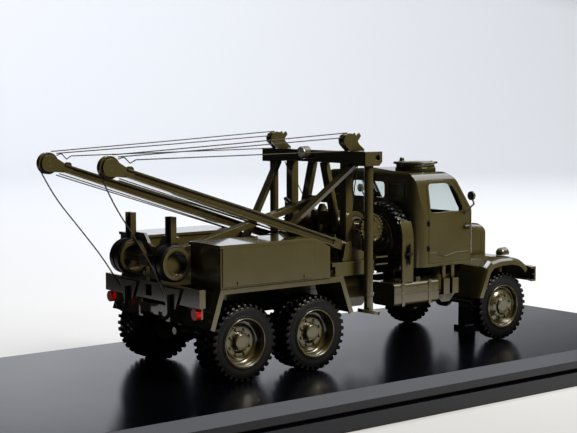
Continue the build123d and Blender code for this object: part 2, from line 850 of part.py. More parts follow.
def wheels():
    """The tyre and rim nodes of the six wheel bodies."""
    nodes = {}
    single, plain = tyre(), tyre(lugged=False)
    front_rim = wheel_rim(tyre_width, front_disc, front_disc_bulge, front_cap, front_hub_inner)
    rear_rim = wheel_rim(twin_length, rear_disc, 0, rear_cap, rear_hub_inner)
    twin = Compound([*single.solids(), *(Pos(0, 0, -tyre_width - twin_gap) * plain).solids()])
    for name, x, side, face_y, twins in wheel_places():
        place = Pos(x, side * (face_y - tyre_width / 2), axle_z) * Rot(-side * right_angle, 0, 0)
        nodes[f"tyre_{name}"] = place * (twin if twins else single)
        nodes[f"rim_{name}"] = place * (rear_rim if twins else front_rim)
    return nodes


def axles():
    """The three axles, each ending short of the bottom of its wheels' bores."""
    places = ((0, front_centre_y, front_cap, front_hub_inner),
              (mid_axle_x, rear_centre_y, rear_cap, rear_hub_inner),
              (rear_axle_x, rear_centre_y, rear_cap, rear_hub_inner))
    made = []
    for x, centre_y, cap, hub_inner in places:
        stub_end = centre_y + cap - hub_cap_thickness - stub_end_gap
        made.append(axle(x, stub_end, centre_y + hub_inner - drum_gap - drum_width))
    return gathered(made)


# Cab and hood

def rounded(outline, radii):
    """A closed outline with each corner rounded by its own radius, zero for none."""
    face = make_face(Polyline(*outline, close=True))
    for point, radius in zip(outline, radii):
        if radius > 0:
            face = fillet(face.vertices().sort_by_distance((*point, 0))[0], radius)
    return face


def prism_y(face, y0, y1):
    return extrude(Plane.XZ.offset(-y0) * face, amount=y0 - y1)


def prism_x(face, x0, x1):
    return extrude(Plane.YZ.offset(x0) * face, amount=x1 - x0)


def cab_body(inset):
    """The cab's outer surface, or a surface inside it, as three crossed outlines."""
    rear, front = cab_rear_x + inset, cab_front_x - inset
    bottom, roof = cab_bottom_z + inset, cab_roof_z - inset
    half, roof_half = cab_half_width - inset, cab_half_width - cab_roof_inset - inset
    side = rounded(
        [(rear, bottom), (rear, roof), (front - cab_screen_run, roof), (front, cab_screen_base_z),
         (front, bottom)],
        [0, cab_nape_radius - inset, cab_brow_radius - inset, cab_scuttle_radius - inset, 0])
    end = rounded(
        [(-half, bottom), (-half, cab_waist_z), (-roof_half, roof - cab_roof_drop), (0, roof),
         (roof_half, roof - cab_roof_drop), (half, cab_waist_z), (half, bottom)],
        [0, 0, cab_roof_corner - inset, 0, cab_roof_corner - inset, 0, 0])
    plan = rounded(
        [(rear, -half), (front, -half), (front, half), (rear, half)],
        [cab_rear_corner - inset, cab_front_corner - inset, cab_front_corner - inset,
         cab_rear_corner - inset])
    walls = extrude(Plane.XY.offset(bottom) * plan, amount=roof - bottom)
    return prism_y(side, -half, half) & prism_x(end, rear, front) & walls


def side_window(margin):
    """The window opening through both doors, made smaller by margin."""
    rear, front = side_window_rear_x + margin, side_window_front_x - margin
    low, high = side_window_bottom_z + margin, side_window_top_z - margin
    curve = [(front - run, high - drop) for run, drop in side_window_curve]
    radii = [side_window_radius] * 2 + [0] * len(curve) + [side_window_radius]
    face = rounded([(rear, low), (rear, high), *curve, (front, low)], radii)
    reach = cab_half_width + overrun
    return prism_y(face, -reach, reach)


def screen_openings(margin):
    """The two panes of the windscreen, made smaller by margin."""
    low, high = screen_z_span[0] + margin, screen_z_span[1] - margin
    inner, outer = screen_half_post + margin, screen_outer_y - margin
    face = rounded([(inner, low), (outer, low), (outer, high), (inner, high)], [screen_radius] * 4)
    return pair(prism_x(face, cab_rear_x / 2 + cab_front_x / 2, cab_front_x + overrun))


def rear_window(margin):
    low, high = rear_window_z_span[0] + margin, rear_window_z_span[1] - margin
    half = rear_window_half_width - margin
    face = rounded([(-half, low), (half, low), (half, high), (-half, high)], [rear_window_radius] * 4)
    return prism_x(face, cab_rear_x - overrun, cab_rear_x + cab_wall + overrun)


def door_groove_ring():
    """The gap round each door, as a shallow groove."""
    def outline(margin):
        rear, front = door_rear_x + margin, door_front_x - margin
        low, high = door_bottom_z + margin, door_top_z - margin
        return rounded(
            [(rear, low), (rear, high), (front - door_top_run, high), (front, cab_waist_z), (front, low)],
            [0, door_radius, door_top_radius, door_top_radius, 0])
    reach = cab_half_width + overrun
    ring = prism_y(outline(0), -reach, reach) - prism_y(outline(door_groove), -reach, reach)
    return ring & (cab_body(0) - cab_body(door_groove_depth))


def cab_shell():
    shell = cab_body(0) - cab_body(cab_wall)
    shell = shell - side_window(0) - screen_openings(0) - rear_window(0) - door_groove_ring()
    for side in (-1, 1):
        y_span = sorted(side * y for y in rear_frame_y_span)
        outer = block((cab_rear_x - rear_frame_raise, cab_rear_x + rear_frame_raise), y_span,
                      rear_window_z_span)
        inner = block((cab_rear_x - overrun, cab_rear_x + rear_frame_raise),
                      (y_span[0] + rear_frame_band, y_span[1] - rear_frame_band),
                      (rear_window_z_span[0] + rear_frame_band, rear_window_z_span[1] - rear_frame_band))
        shell = shell + (outer - inner)
    for x in (cab_rear_x + cab_mount_size, cab_front_x - cab_mount_size):
        for side in (-1, 1):
            y_span = sorted((side * (rail_outer_y - rail_flange), side * rail_outer_y))
            shell = shell + block(around(x, cab_mount_size / 2), y_span,
                                  (rail_top_z, cab_bottom_z + cab_wall / 2))
    return shell


def cab_glass():
    """The windscreen's two panes, the door panes and the rear pane."""
    pane = cab_body(glass_inset) - cab_body(glass_inset + glass_thickness)
    cutters = [screen_openings(glass_fit), side_window(glass_fit), rear_window(glass_fit)]
    return gathered([pane & cutter for cutter in cutters])


def hood_form(inset):
    """The hood's outer or inner surface: a tapered section, rounded at the nose."""
    rear_x, front_x = cab_front_x + hood_gap, hood_front_x - inset
    low = hood_bottom_z - (overrun if inset else 0)

    def section(half, top):
        half, top = half - inset, top - inset
        corner = hood_corner - inset
        return rounded([(-half, low), (-half, top), (half, top), (half, low)], [0, corner, corner, 0])
    rear_x = rear_x - (overrun if inset else 0)
    body = loft([Plane.YZ.offset(rear_x) * section(hood_rear_half_width, hood_rear_top_z),
                 Plane.YZ.offset(front_x) * section(hood_front_half_width, hood_front_top_z)], ruled=True)
    top = hood_rear_top_z + overrun
    plan = rounded([(rear_x, -cab_half_width), (front_x, -hood_rear_half_width),
                    (front_x, hood_rear_half_width),
                    (rear_x, cab_half_width)], [0, hood_nose_radius, hood_nose_radius, 0])
    side = rounded([(rear_x, low), (rear_x, top), (front_x, hood_front_top_z - inset), (front_x, low)],
                   [0, 0, hood_nose_radius, 0])
    outline = extrude(Plane.XY.offset(low) * plan, amount=top - low)
    return body & outline & prism_y(side, -cab_half_width, cab_half_width)


def grille_outline(margin):
    half = hood_front_half_width - grille_margin - margin
    low, high = hood_bottom_z + grille_margin + margin, hood_front_top_z - grille_top_drop - margin
    return half, low, high


def hood():
    shell = hood_form(0) - hood_form(hood_wall)
    half, low, high = grille_outline(0)
    rim = hood_form(0) - hood_form(hood_panel_depth)
    for share in hood_panel_shares:
        x = cab_front_x + share * (hood_front_x - cab_front_x)
        sides = block(around(x, hood_panel_line / 2), around(0, cab_half_width),
                      (hood_bottom_z, hood_front_top_z - hood_corner))
        shell = shell - (sides & rim)
    opening = block((hood_front_x - hood_wall - overrun, hood_front_x + overrun), (-half, half),
                    (low, high))
    return shell - opening


def grille():
    """A plate of upright bars that fills the opening in the hood's nose."""
    half, low, high = grille_outline(joint_clearance)
    plate = block((hood_front_x - grille_thickness, hood_front_x), (-half, half), (low, high))
    pitch = 2 * half / grille_bar_count
    for index in range(grille_bar_count):
        centre = -half + pitch * (index + 1 / 2)
        slot = block((hood_front_x - grille_thickness - overrun, hood_front_x + overrun),
                     around(centre, pitch * grille_slot_share / 2), (low + grille_rim, high - grille_rim))
        plate = plate - slot
    return plate


def radiator():
    """The core behind the grille, standing on the rails."""
    half, low, high = grille_outline(joint_clearance)
    front = hood_front_x - hood_wall - joint_clearance
    return block((front - radiator_thickness, front), (-half, half), (rail_top_z + joint_clearance, high))


def roof_hatch():
    """A round lid on a raised ring, with its knob on the left."""
    lid = rod((hatch_x, hatch_y, hatch_top_z - hatch_lid_height), (hatch_x, hatch_y, hatch_top_z),
              hatch_radius)
    lid = fillet(lid.edges().sort_by(Axis.Z)[-1], hatch_round)
    ring_top = hatch_top_z - hatch_lid_height
    ring = rod((hatch_x, hatch_y, cab_roof_z - cab_roof_drop - overrun), (hatch_x, hatch_y, ring_top),
               hatch_radius - hatch_ring_inset)
    knob_y = hatch_y + hatch_radius - hatch_knob_radius
    knob = rod((hatch_x, knob_y, hatch_top_z - hatch_round),
               (hatch_x, knob_y, hatch_top_z + hatch_knob_height),
               hatch_knob_radius)
    return (lid + ring + knob) - cab_body(-joint_clearance)


def seats():
    """Two plain seats on boxes."""
    length, width, height = seat_cushion_size
    rear = cab_rear_x + cab_wall + seat_rear_gap
    floor = cab_bottom_z + cab_wall + joint_clearance
    y_span = around(seat_centre_y, width / 2)
    base = block((rear, rear + length - seat_back_thickness),
                 around(seat_centre_y, width / 2 - seat_back_thickness / 2),
                 (floor, floor + seat_base_height))
    cushion = block((rear, rear + length), y_span,
                    (floor + seat_base_height, floor + seat_base_height + height))
    back = block((rear, rear + seat_back_thickness), y_span,
                 (floor + seat_base_height, floor + seat_base_height + seat_back_height))
    return pair(base + cushion + back)


def dashboard():
    front = cab_front_x - cab_wall - joint_clearance
    top = cab_screen_base_z - cab_wall
    half = cab_half_width - cab_wall - cab_front_corner
    return block((front - dash_depth, front), (-half, half), (top - dash_height, top))


def steering_wheel():
    """A rim, three spokes and a column that ends at the dashboard."""
    tilt = radians(steering_tilt)
    base_x = cab_front_x - cab_wall - dash_depth - 2 * joint_clearance
    base_z = cab_screen_base_z - cab_wall - dash_height / 2
    reach = steering_radius
    centre = (base_x - reach * cos(tilt), steering_centre_y, base_z + reach * sin(tilt))
    axis = Vector(centre) - Vector(base_x, steering_centre_y, base_z)
    plane = Plane(origin=centre, x_dir=(0, 1, 0), z_dir=axis)
    rim = plane * Torus(steering_radius, steering_wire)
    hub = plane * Cylinder(column_radius + steering_wire, 2 * steering_wire)
    spokes = plane * Box(2 * steering_radius, 2 * steering_wire, steering_wire)
    column = rod((base_x, steering_centre_y, base_z), centre, column_radius)
    cross = plane * Box(2 * steering_wire, 2 * steering_radius, steering_wire)
    solid = rim + hub + spokes + cross + column
    return solid - block((base_x, 0), around(steering_centre_y, reach), (cab_bottom_z, cab_roof_z))


def cab_interior():
    return gathered([seats(), dashboard(), steering_wheel()])


def mirrors():
    """A round mirror on a bent arm at each front pillar."""
    x, y, z = mirror_centre
    foot = (x + mirror_arm_radius, cab_half_width + mirror_arm_radius, mirror_foot_z)
    elbow = (x + mirror_radius, y - mirror_arm_radius, (mirror_foot_z + z) / 2)
    lower = rod(foot, elbow, mirror_arm_radius)
    upper = rod(elbow, (x, y, z), mirror_arm_radius)
    joint = Pos(*elbow) * Sphere(mirror_arm_radius)
    head = rod((x - mirror_thickness / 2, y, z), (x + mirror_thickness / 2, y, z), mirror_radius)
    return pair(lower + upper + joint + head)


def door_handles():
    x, z = handle_place
    y = cab_half_width + handle_stand_off
    grip = rod((x - handle_length, y, z), (x, y, z), handle_radius)
    post = rod((x, cab_half_width + joint_clearance, z), (x, y + handle_radius, z), handle_radius)
    return pair(grip + post)


# Front end

def lifted(path, rise):
    """A path of (x, z) points moved up."""
    return [(x, z + rise) for x, z in path]


def front_fenders():
    """A sheet whose top rises inwards from its outer edge, with a turned lip and an apron."""
    foot, knee, nose = fender_edge[0], fender_edge[1], fender_edge[-1]
    path = [at_height(foot, knee, foot[1] - fender_crown - overrun), *fender_edge[1:]]
    sections = [(fender_outer_y - into, share * fender_crown) for into, share in fender_crown_points]
    sections.append((fender_inner_y, fender_crown))
    faces = []
    for y, rise in sections:
        outline = Polyline(*ribbon(lifted(path, rise), fender_sheet), close=True)
        faces.append(Plane.XZ.offset(-y) * make_face(outline))
    strips = [loft([first, second], ruled=True) for first, second in zip(faces, faces[1:])]
    lip = side_plate(ribbon(path, fender_lip), fender_outer_y - fender_lip_thickness, fender_outer_y)
    rear_line = lifted([foot, knee], fender_crown)
    apron_outline = lifted(fender_edge[1:], fender_crown)
    apron_outline += [(nose[0], apron_bottom_z), at_height(*rear_line, apron_bottom_z)]
    apron = side_plate(apron_outline, fender_inner_y, fender_inner_y + apron_thickness)
    fender = joined([*strips, lip, apron])
    for x in (fender_edge[2][0], fender_edge[-3][0]):
        z = apron_bottom_z + fender_stay_radius
        fender = fender + rod((x, rail_outer_y + joint_clearance, z),
                              (x, fender_inner_y + apron_thickness / 2, z), fender_stay_radius)
    above_foot = block((path[0][0] - overrun, nose[0] + overrun), (0, fender_outer_y),
                       (foot[1], fender_top_z))
    return pair(fender & above_foot)


def front_bumper():
    """A channel across the front, its ends swept back, on two horns."""
    front, half = bumper_front_x, bumper_half_length
    knee = half - bumper_sweep_length
    low, high = bumper_z_span

    def plan(depth, z0, z1):
        outline = [(front, -knee), (front, knee), (front - bumper_sweep, half),
                   (front - bumper_sweep - depth, half),
                   (front - depth, knee), (front - depth, -knee), (front - bumper_sweep - depth, -half),
                   (front - bumper_sweep, -half)]
        return extrude(Pos(0, 0, z0) * make_face(Polyline(*outline, close=True)), amount=z1 - z0)
    channel = plan(bumper_sheet, low, high)
    channel = channel + plan(bumper_flange_depth, low, low + bumper_sheet)
    channel = channel + plan(bumper_flange_depth, high - bumper_sheet, high)
    for side in (-1, 1):
        y_span = sorted((side * (rail_outer_y - rail_flange), side * rail_outer_y))
        channel = channel + block((frame_front_x + joint_clearance, front - bumper_sheet / 2), y_span,
                                  (low + bumper_sheet / 2, rail_top_z))
    return channel


def above_fender(shape):
    """A shape with what lies below the top of the fender cut away."""
    x, y = lamp_centre
    below = block(around(x, 2 * lamp_length), around(y, lamp_length),
                  (fender_top_z - lamp_length, fender_top_z + joint_clearance))
    return shape - below


def headlamps():
    """A rounded bowl let into the top of each fender."""
    x, y = lamp_centre
    bowl = Pos(x, y, lamp_centre_z) * Sphere(lamp_radius)
    ring = rod((x, y, lamp_centre_z), (x + lamp_length - lamp_radius, y, lamp_centre_z), lamp_radius)
    return pair(above_fender(bowl + ring))


def headlamp_lenses():
    x, y = lamp_centre
    face = x + lamp_length - lamp_radius + lamp_lens_gap
    lens = rod((face, y, lamp_centre_z), (face + lamp_lens_thickness, y, lamp_centre_z),
               lamp_radius * lens_share)
    return pair(above_fender(lens))


# Between cab and deck

def fuel_tank():
    tank = block(tank_x_span, (-tank_outer_y, -tank_inner_y), tank_z_span)
    tank = fillet(tank.edges().filter_by(Axis.X), tank_round)
    length = tank_x_span[1] - tank_x_span[0]
    cap_x = tank_x_span[0] + tank_cap_share * length
    cap_y = -tank_outer_y + tank_round + tank_cap_radius
    cap = rod((cap_x, cap_y, tank_z_span[1] - tank_round), (cap_x, cap_y, tank_z_span[1] + tank_cap_height),
              tank_cap_radius)
    tank = tank + cap
    middle_z = (tank_z_span[0] + tank_z_span[1]) / 2
    for share in tank_bracket_shares:
        x = tank_x_span[0] + share * length
        tank = tank + block(around(x, crossmember_size / 2),
                            (-tank_inner_y - tank_round, -rail_outer_y - joint_clearance),
                            around(middle_z, crossmember_size / 2))
    return tank


def cab_steps():
    """Two hanging straps with wide foot plates under each door."""
    low, high = step_z_span
    outer, half = step_outer_y, step_strap_width / 2
    step_top = cab_bottom_z - joint_clearance
    steps = []
    for x in step_places:
        plate = block(around(x, half), (outer - step_sheet, outer),
                      (low, low + step_plate_share * (high - low)))
        tread = block(around(x, half), (outer - step_tread_depth, outer), (low, low + step_sheet))
        hanger = block(around(x, half / 2),
                       (outer - step_tread_depth, outer - step_tread_depth + step_sheet),
                       (low, step_top))
        steps.append(plate + tread + hanger)
    return Compound([solid for step in steps for solid in pair(step).solids()])


def tool_tray():
    """A tray under each door, its underside tapered, hung from the rail."""
    front, rear = tray_x_span[1], tray_x_span[0]
    taper = tray_height
    outline = [(rear, tray_z + tray_height), (rear + taper, tray_z), (front - taper, tray_z),
               (front, tray_z + tray_height)]
    tray = side_plate(outline, tank_inner_y, tank_outer_y - tank_round)
    middle = (front + rear) / 2
    arm = block(around(middle, crossmember_size), (rail_outer_y + joint_clearance, tank_inner_y + overrun),
                (rail_bottom_z, tray_z + tray_height))
    return pair(tray + arm)


def spare_wheel():
    place = Pos(spare_x, spare_y, spare_z) * Rot(0, -right_angle, 0)
    rim = wheel_rim(tyre_width, front_disc, front_disc_bulge, front_cap, front_hub_inner)
    return place * tyre(), place * rim


def spare_stand():
    """An upright plate behind the spare wheel with a pin through its hub."""
    back = spare_x + tyre_width / 2 + carrier_gap
    stand = block((back, back + spare_stand_sheet), around(spare_y, spare_stand_width),
                  (rail_top_z + joint_clearance, spare_z + spare_stand_width))
    hub_face = spare_x - front_hub_inner
    pin = rod((hub_face - pin_reach, spare_y, spare_z), (back + spare_stand_sheet / 2, spare_y, spare_z),
              stub_radius)
    return stand + pin


def spare_carrier():
    """A bent strap that holds the spare wheel from the side and stands on the tank."""
    inner = wheel_radius + carrier_gap
    outer = inner + carrier_sheet
    x0, x1 = carrier_x_span
    ring = rod((x0, spare_y, spare_z), (x1, spare_y, spare_z), outer) - rod(
        (x0, spare_y, spare_z), (x1, spare_y, spare_z), inner)
    window = block((x0, x1), (spare_y - outer, spare_y), (spare_z, carrier_top_z))
    plate = block((x0, x1), (spare_y - outer, spare_y - inner), (tank_z_span[1] + joint_clearance, spare_z))
    middle = (x0 + x1) / 2
    latch_y = spare_y - outer - carrier_latch_radius
    latch = rod((middle, latch_y, carrier_latch_z),
                (middle, latch_y, carrier_latch_z + carrier_latch_length),
                carrier_latch_radius)
    return (ring & window) + plate + latch


# Deck and rear end

def deck():
    low = deck_top_z - deck_thickness
    top = block((deck_rear_x, deck_front_x), around(0, deck_half_width), (low, deck_top_z))
    for side in (-1, 1):
        y_span = sorted((side * (rail_outer_y - rail_flange), side * rail_outer_y))
        top = top + block((deck_rear_x, deck_front_x), y_span, (rail_top_z + joint_clearance, low))
    return top


def rear_fenders():
    rear, front = rear_fender_top_span
    path = [(bogie_x + x, z) for x, z in (rear_fender_rear_foot, (rear, deck_top_z), (front, deck_top_z),
                                          rear_fender_front_foot)]
    inner = deck_half_width + joint_clearance
    sheet = side_plate(ribbon(path, fender_sheet), inner, rear_fender_outer_y)
    lip = side_plate(ribbon(path, rear_fender_lip), rear_fender_outer_y - fender_lip_thickness,
                     rear_fender_outer_y)
    return pair(sheet + lip)


def side_box():
    """A closed locker with a lid, a side door and a nose cut down under the boom."""
    low = deck_top_z + box_gap
    rear, front = box_x_span
    door_rear, door_front = box_door_x_span
    outline = [(rear, low), (rear, box_top_z), (door_front, box_top_z), (front, box_nose_top_z),
               (front, low)]
    body = side_plate(outline, box_inner_y, box_outer_y)
    lid = block((rear - box_lid_reach, door_front),
                (box_inner_y - box_lid_reach, box_outer_y + box_lid_reach),
                (box_top_z - box_lid_thickness, box_top_z))
    door = block((door_rear, door_front), (box_outer_y, box_outer_y + box_door_raise),
                 (low + box_lip_height, box_top_z - box_lid_thickness))
    latches = []
    for share in box_latch_shares:
        x = door_rear + share * (door_front - door_rear)
        latches.append(block(around(x, box_latch_size / 3), (box_outer_y, box_outer_y + box_lip_raise),
                             (low + 2 * box_lip_height, low + 2 * box_lip_height + box_latch_size)))
    return joined([body, lid, door, *latches])


def rear_plate():
    """The cross plate at the tail, its ends turned forwards, with the hitch slot."""
    low, high = rear_plate_z_span
    x0, x1 = rear_plate_x, rear_plate_x + rear_plate_sheet
    plate = block((x0, x1), (-rear_plate_half_width, rear_plate_half_width), (low, high))
    for side in (-1, 1):
        y_span = sorted((side * (rear_plate_half_width - rear_plate_sheet), side * rear_plate_half_width))
        plate = plate + block((x0, x0 + rear_plate_return), y_span, (low, high))
    middle = (low + high) / 2
    slot = block((x0 - overrun, x1 + overrun), around(hitch_slot_y, hitch_slot_half),
                 around(middle, hitch_slot_half))
    for side in (-1, 1):
        centre = side * hook_plate_y
        shield = end_plate(
            [(centre - hook_plate_half_top, hook_plate_z_span[1]),
             (centre + hook_plate_half_top, hook_plate_z_span[1]),
             (centre + hook_plate_half_low, hook_plate_z_span[0]),
             (centre - hook_plate_half_low, hook_plate_z_span[0])],
            x0 - hook_plate_thickness, x0)
        plate = plate + shield
    return plate - slot


def tow_hooks():
    """An open hook below each shield plate."""
    x = rear_plate_x - hook_plate_thickness - hook_wire - joint_clearance
    hooks = []
    for side in (-1, 1):
        y, top = side * hook_plate_y, hook_plate_z_span[1] - hook_plate_thickness * 4
        bend_z = hook_bottom_z + hook_bend_radius
        shank = rod((x, y, bend_z), (x, y, top), hook_wire)
        bend = revolve(Plane.XY.offset(bend_z) * Pos(x, y, 0) * Circle(hook_wire),
                       axis=Axis((x - hook_bend_radius, y, bend_z), (0, 1, 0)),
                       revolution_arc=hook_bend_angle)
        hooks.append(shank + bend)
    return Compound([solid for hook in hooks for solid in hook.solids()])


def tail_lamps():
    x0 = tail_lamp_x - tail_lamp_length / 2
    lens = rod((x0, tail_lamp_y, tail_lamp_z), (x0 + tail_lamp_length, tail_lamp_y, tail_lamp_z),
               tail_lamp_radius)
    return pair(lens)


def tail_lamp_brackets():
    x0 = tail_lamp_x + tail_lamp_length / 2 + joint_clearance
    half = tail_lamp_radius * lens_share
    low = tail_lamp_z - half
    return pair(block((x0, x0 + tail_lamp_bracket), around(tail_lamp_y, half),
                      (low, rear_plate_z_span[0] - joint_clearance)))


def roller_rod(y0, y1, radius):
    return rod((roller_x, y0, roller_z), (roller_x, y1, roller_z), radius)


def push_rollers():
    """Rubber rings with broad ribs on the two drums at the tail."""
    inner = roller_y_span[0] + roller_flange + joint_clearance
    outer = roller_y_span[1] - roller_flange - joint_clearance
    ring = roller_rod(inner, outer, roller_radius)
    ring = chamfer(ring.edges().filter_by(GeomType.CIRCLE), roller_groove_depth / 2)
    rib = (outer - inner) / roller_rib_count
    for index in range(1, roller_rib_count):
        y = inner + index * rib
        groove = roller_rod(y - roller_groove / 2, y + roller_groove / 2, roller_radius)
        ring = ring - (groove - roller_rod(inner, outer, roller_radius - roller_groove_depth))
    return pair(ring - roller_rod(inner, outer, roller_cap_radius + joint_clearance))


def roller_drums():
    """The dished drums inside the rubber rings, with a flange at each face, on one shaft."""
    inner, outer = roller_y_span
    shaft_end = outer - roller_cap_depth
    shaft = roller_rod(-shaft_end, shaft_end, roller_core_radius)
    for side in (-1, 1):
        drum = roller_rod(side * inner, side * outer, roller_cap_radius)
        for y in (inner, outer - roller_flange):
            drum = drum + roller_rod(side * y, side * (y + roller_flange),
                                     roller_radius - roller_groove_depth)
        for y in (inner, shaft_end):
            drum = drum - roller_rod(side * y, side * (y + roller_cap_depth),
                                     roller_cap_radius - roller_groove)
        shaft = shaft + drum
    return shaft


def yoke():
    """The notched plate above the rollers, its stem on the deck, and the arm that holds their shaft."""
    right = [(y, deck_top_z + z) for y, z in yoke_points]
    left = [(-y, z) for y, z in right[::-1] if y > 0]
    plate = end_plate(right + left, yoke_x, yoke_x + yoke_thickness)
    arm = block((roller_x - roller_core_radius - yoke_thickness, yoke_x), around(0, yoke_arm_half_width),
                around(roller_z, roller_core_radius + yoke_thickness / 2))
    bore = roller_rod(-roller_y_span[1], roller_y_span[1], roller_core_radius + joint_clearance)
    return plate + arm - bore


def stakes():
    """Two short channel posts on the rear of the yoke."""
    x1 = yoke_x - joint_clearance
    post = block((x1 - stake_depth, x1), around(stake_y, stake_width / 2), stake_z_span)
    groove = block((x1 - stake_depth - overrun, x1 - stake_wall),
                   around(stake_y, stake_width / 2 - stake_wall),
                   (stake_z_span[0] - overrun, stake_z_span[1] + overrun))
    return pair(post - groove)


# Gantry

beam_rear_x = gantry_x - beam_depth / 2
beam_front_x = gantry_x + beam_depth / 2
beam_bottom_z = beam_centre_z - beam_height / 2
beam_top_z = beam_centre_z + beam_height / 2
lug_bottom_z = beam_bottom_z - beam_lug_drop
sheave_z = beam_top_z + sheave_rise


def gantry_beam():
    """A square beam whose ends reach forwards and down over the legs."""
    beam = block((beam_rear_x, beam_front_x), around(0, beam_half_length), (beam_bottom_z, beam_top_z))
    lug_inner_y = strut_top_y + strut_width / 2 + beam_lug_gap
    hole_x = beam_front_x + beam_lug_length / 2
    for side in (-1, 1):
        y_span = sorted((side * lug_inner_y, side * beam_half_length))
        lug = block((beam_rear_x, beam_front_x + beam_lug_length), y_span, (lug_bottom_z, beam_top_z))
        low_edge = lug.edges().filter_by(Axis.Y).group_by(Axis.Z)[0].sort_by(Axis.X)[-1]
        lug = chamfer(low_edge, beam_lug_chamfer)
        hole = rod((hole_x, side * (beam_half_length - beam_lug_hole), beam_centre_z),
                   (hole_x, side * (beam_half_length + overrun), beam_centre_z), beam_lug_hole)
        beam = beam + lug - hole
    return beam


def gantry_legs():
    """The outer support tubes with their rings and tilted foot plates."""
    top = lug_bottom_z - joint_clearance
    tube = rod((leg_x, leg_y, leg_foot_z), (leg_x, leg_y, top), leg_radius)
    ring = rod((leg_x, leg_y, leg_ring_z), (leg_x, leg_y, leg_ring_z + leg_ring_height),
               leg_radius + leg_ring_margin)
    foot = Pos(leg_x, leg_y, leg_foot_z) * Rot(0, foot_tilt, 0) * Cylinder(foot_radius, foot_thickness)
    return pair(tube + ring + foot)


def gantry_uprights():
    """Two square posts and, between them, two flat legs that splay down from the beam, tied across."""
    top, low = beam_bottom_z - joint_clearance, bed_top_z + joint_clearance
    start = (upright_x, frame_apex_half, beam_bottom_z)
    end = (upright_x, frame_foot_half, bed_top_z)
    leg = bar(start, end, (0, 1, 0), frame_leg_width, frame_leg_depth)
    leg = leg & block(around(upright_x, post_side), (0, bed_half_width), (low, top))
    post = block(around(upright_x, post_side / 2), around(post_y, post_side / 2), (low, top))
    drop = (beam_bottom_z - frame_tie_z) / (beam_bottom_z - bed_top_z)
    tie_half = frame_apex_half + drop * (frame_foot_half - frame_apex_half)
    tie = block(around(upright_x, frame_leg_depth / 2), around(0, tie_half),
                around(frame_tie_z, frame_tie_height / 2))
    return joined([tie, leg, post, mirror(leg, about=Plane.XZ), mirror(post, about=Plane.XZ)])


def winch_bed():
    """The raised bed that carries the gantry, the winches and the boom feet, wide under the booms."""
    rear, knee = boom_foot[0] - bed_behind_foot, boom_foot[0] + bed_past_foot
    low = bed_top_z - bed_thickness
    bed = block((rear, knee), around(0, bed_half_width), (low, bed_top_z))
    bed = bed + block((knee, deck_front_x), around(0, bed_neck_half_width), (low, bed_top_z))
    for side in (-1, 1):
        web = sorted((side * bed_web_y, side * (bed_web_y + deck_beam_width)))
        bed = bed + block((rear, deck_front_x), web, (deck_top_z + joint_clearance, low))
        skirt = sorted((side * (bed_half_width - bed_thickness), side * bed_half_width))
        bed = bed + block((rear + bed_thickness, knee), skirt, (bed_skirt_bottom_z, bed_top_z))
    return bed


def struts():
    """Two flat struts from the ends of the beam down to the deck, cut flat where they stand."""
    foot_x = gantry_x - strut_run
    strut = bar((gantry_x, strut_top_y, beam_bottom_z), (foot_x, strut_foot_y, deck_top_z), (0, 1, 0),
                strut_width, strut_depth)
    limits = block((foot_x - strut_width, gantry_x), (0, beam_half_length),
                   (deck_top_z + joint_clearance, beam_bottom_z - joint_clearance))
    return pair(strut & limits)


def spine():
    """A flat bar from the tie between the uprights down to the yoke, cut flat at both."""
    rear = yoke_x + yoke_thickness + joint_clearance
    front = upright_x - frame_leg_depth / 2 - joint_clearance
    extra = overrun * (frame_tie_z - spine_end_z) / (front - rear)
    line = bar((front + overrun, 0, frame_tie_z + extra), (rear - overrun, 0, spine_end_z - extra),
               (0, 1, 0),
               spine_width, spine_depth)
    return line & block((rear, front), around(0, spine_width), (deck_top_z, beam_bottom_z))


def sheave(radius, thickness, groove, pin_radius, pin_half):
    """A grooved wheel with its pin, about the local Y axis."""
    half = thickness / 2
    profile = [(0, -half), (radius, -half), (radius - groove, 0), (radius, half), (0, half)]
    wheel = revolve(make_face(Polyline(*profile, close=True)), axis=Axis.Y)
    return wheel + rod((0, -pin_half, 0), (0, pin_half, 0), pin_radius)


def top_sheaves():
    disc = sheave(sheave_radius, sheave_thickness, sheave_groove, boom_pin_radius,
                  sheave_thickness / 2 + cheek_gap + cheek_thickness)
    return pair(Pos(sheave_x, sheave_y, sheave_z) * disc)


def sheave_cheeks():
    """Two curved cheek plates each side, standing on the beam."""
    outline = [(gantry_x + x, beam_top_z + z) for x, z in cheek_points]
    inner = sheave_thickness / 2 + cheek_gap
    bore = rod((sheave_x, 0, sheave_z), (sheave_x, beam_half_length, sheave_z),
               boom_pin_radius + joint_clearance)
    solids = []
    for side in (-1, 1):
        y_span = sorted((sheave_y + side * inner, sheave_y + side * (inner + cheek_thickness)))
        plate = side_plate(outline, *y_span) - bore
        solids.extend(pair(plate).solids())
    return Compound(solids)


def work_lamp_rod(from_beam, length, radius):
    """A round bar along the work lamp's line, pointing rearwards."""
    z = beam_centre_z + work_lamp_rise
    start = beam_rear_x - from_beam
    return rod((start - length, work_lamp_y, z), (start, work_lamp_y, z), radius)


def work_lamp():
    return work_lamp_rod(joint_clearance, work_lamp_length, work_lamp_radius)


def work_lamp_lens():
    start = joint_clearance + work_lamp_length + lamp_lens_gap
    return work_lamp_rod(start, lamp_lens_thickness, work_lamp_radius * lens_share)


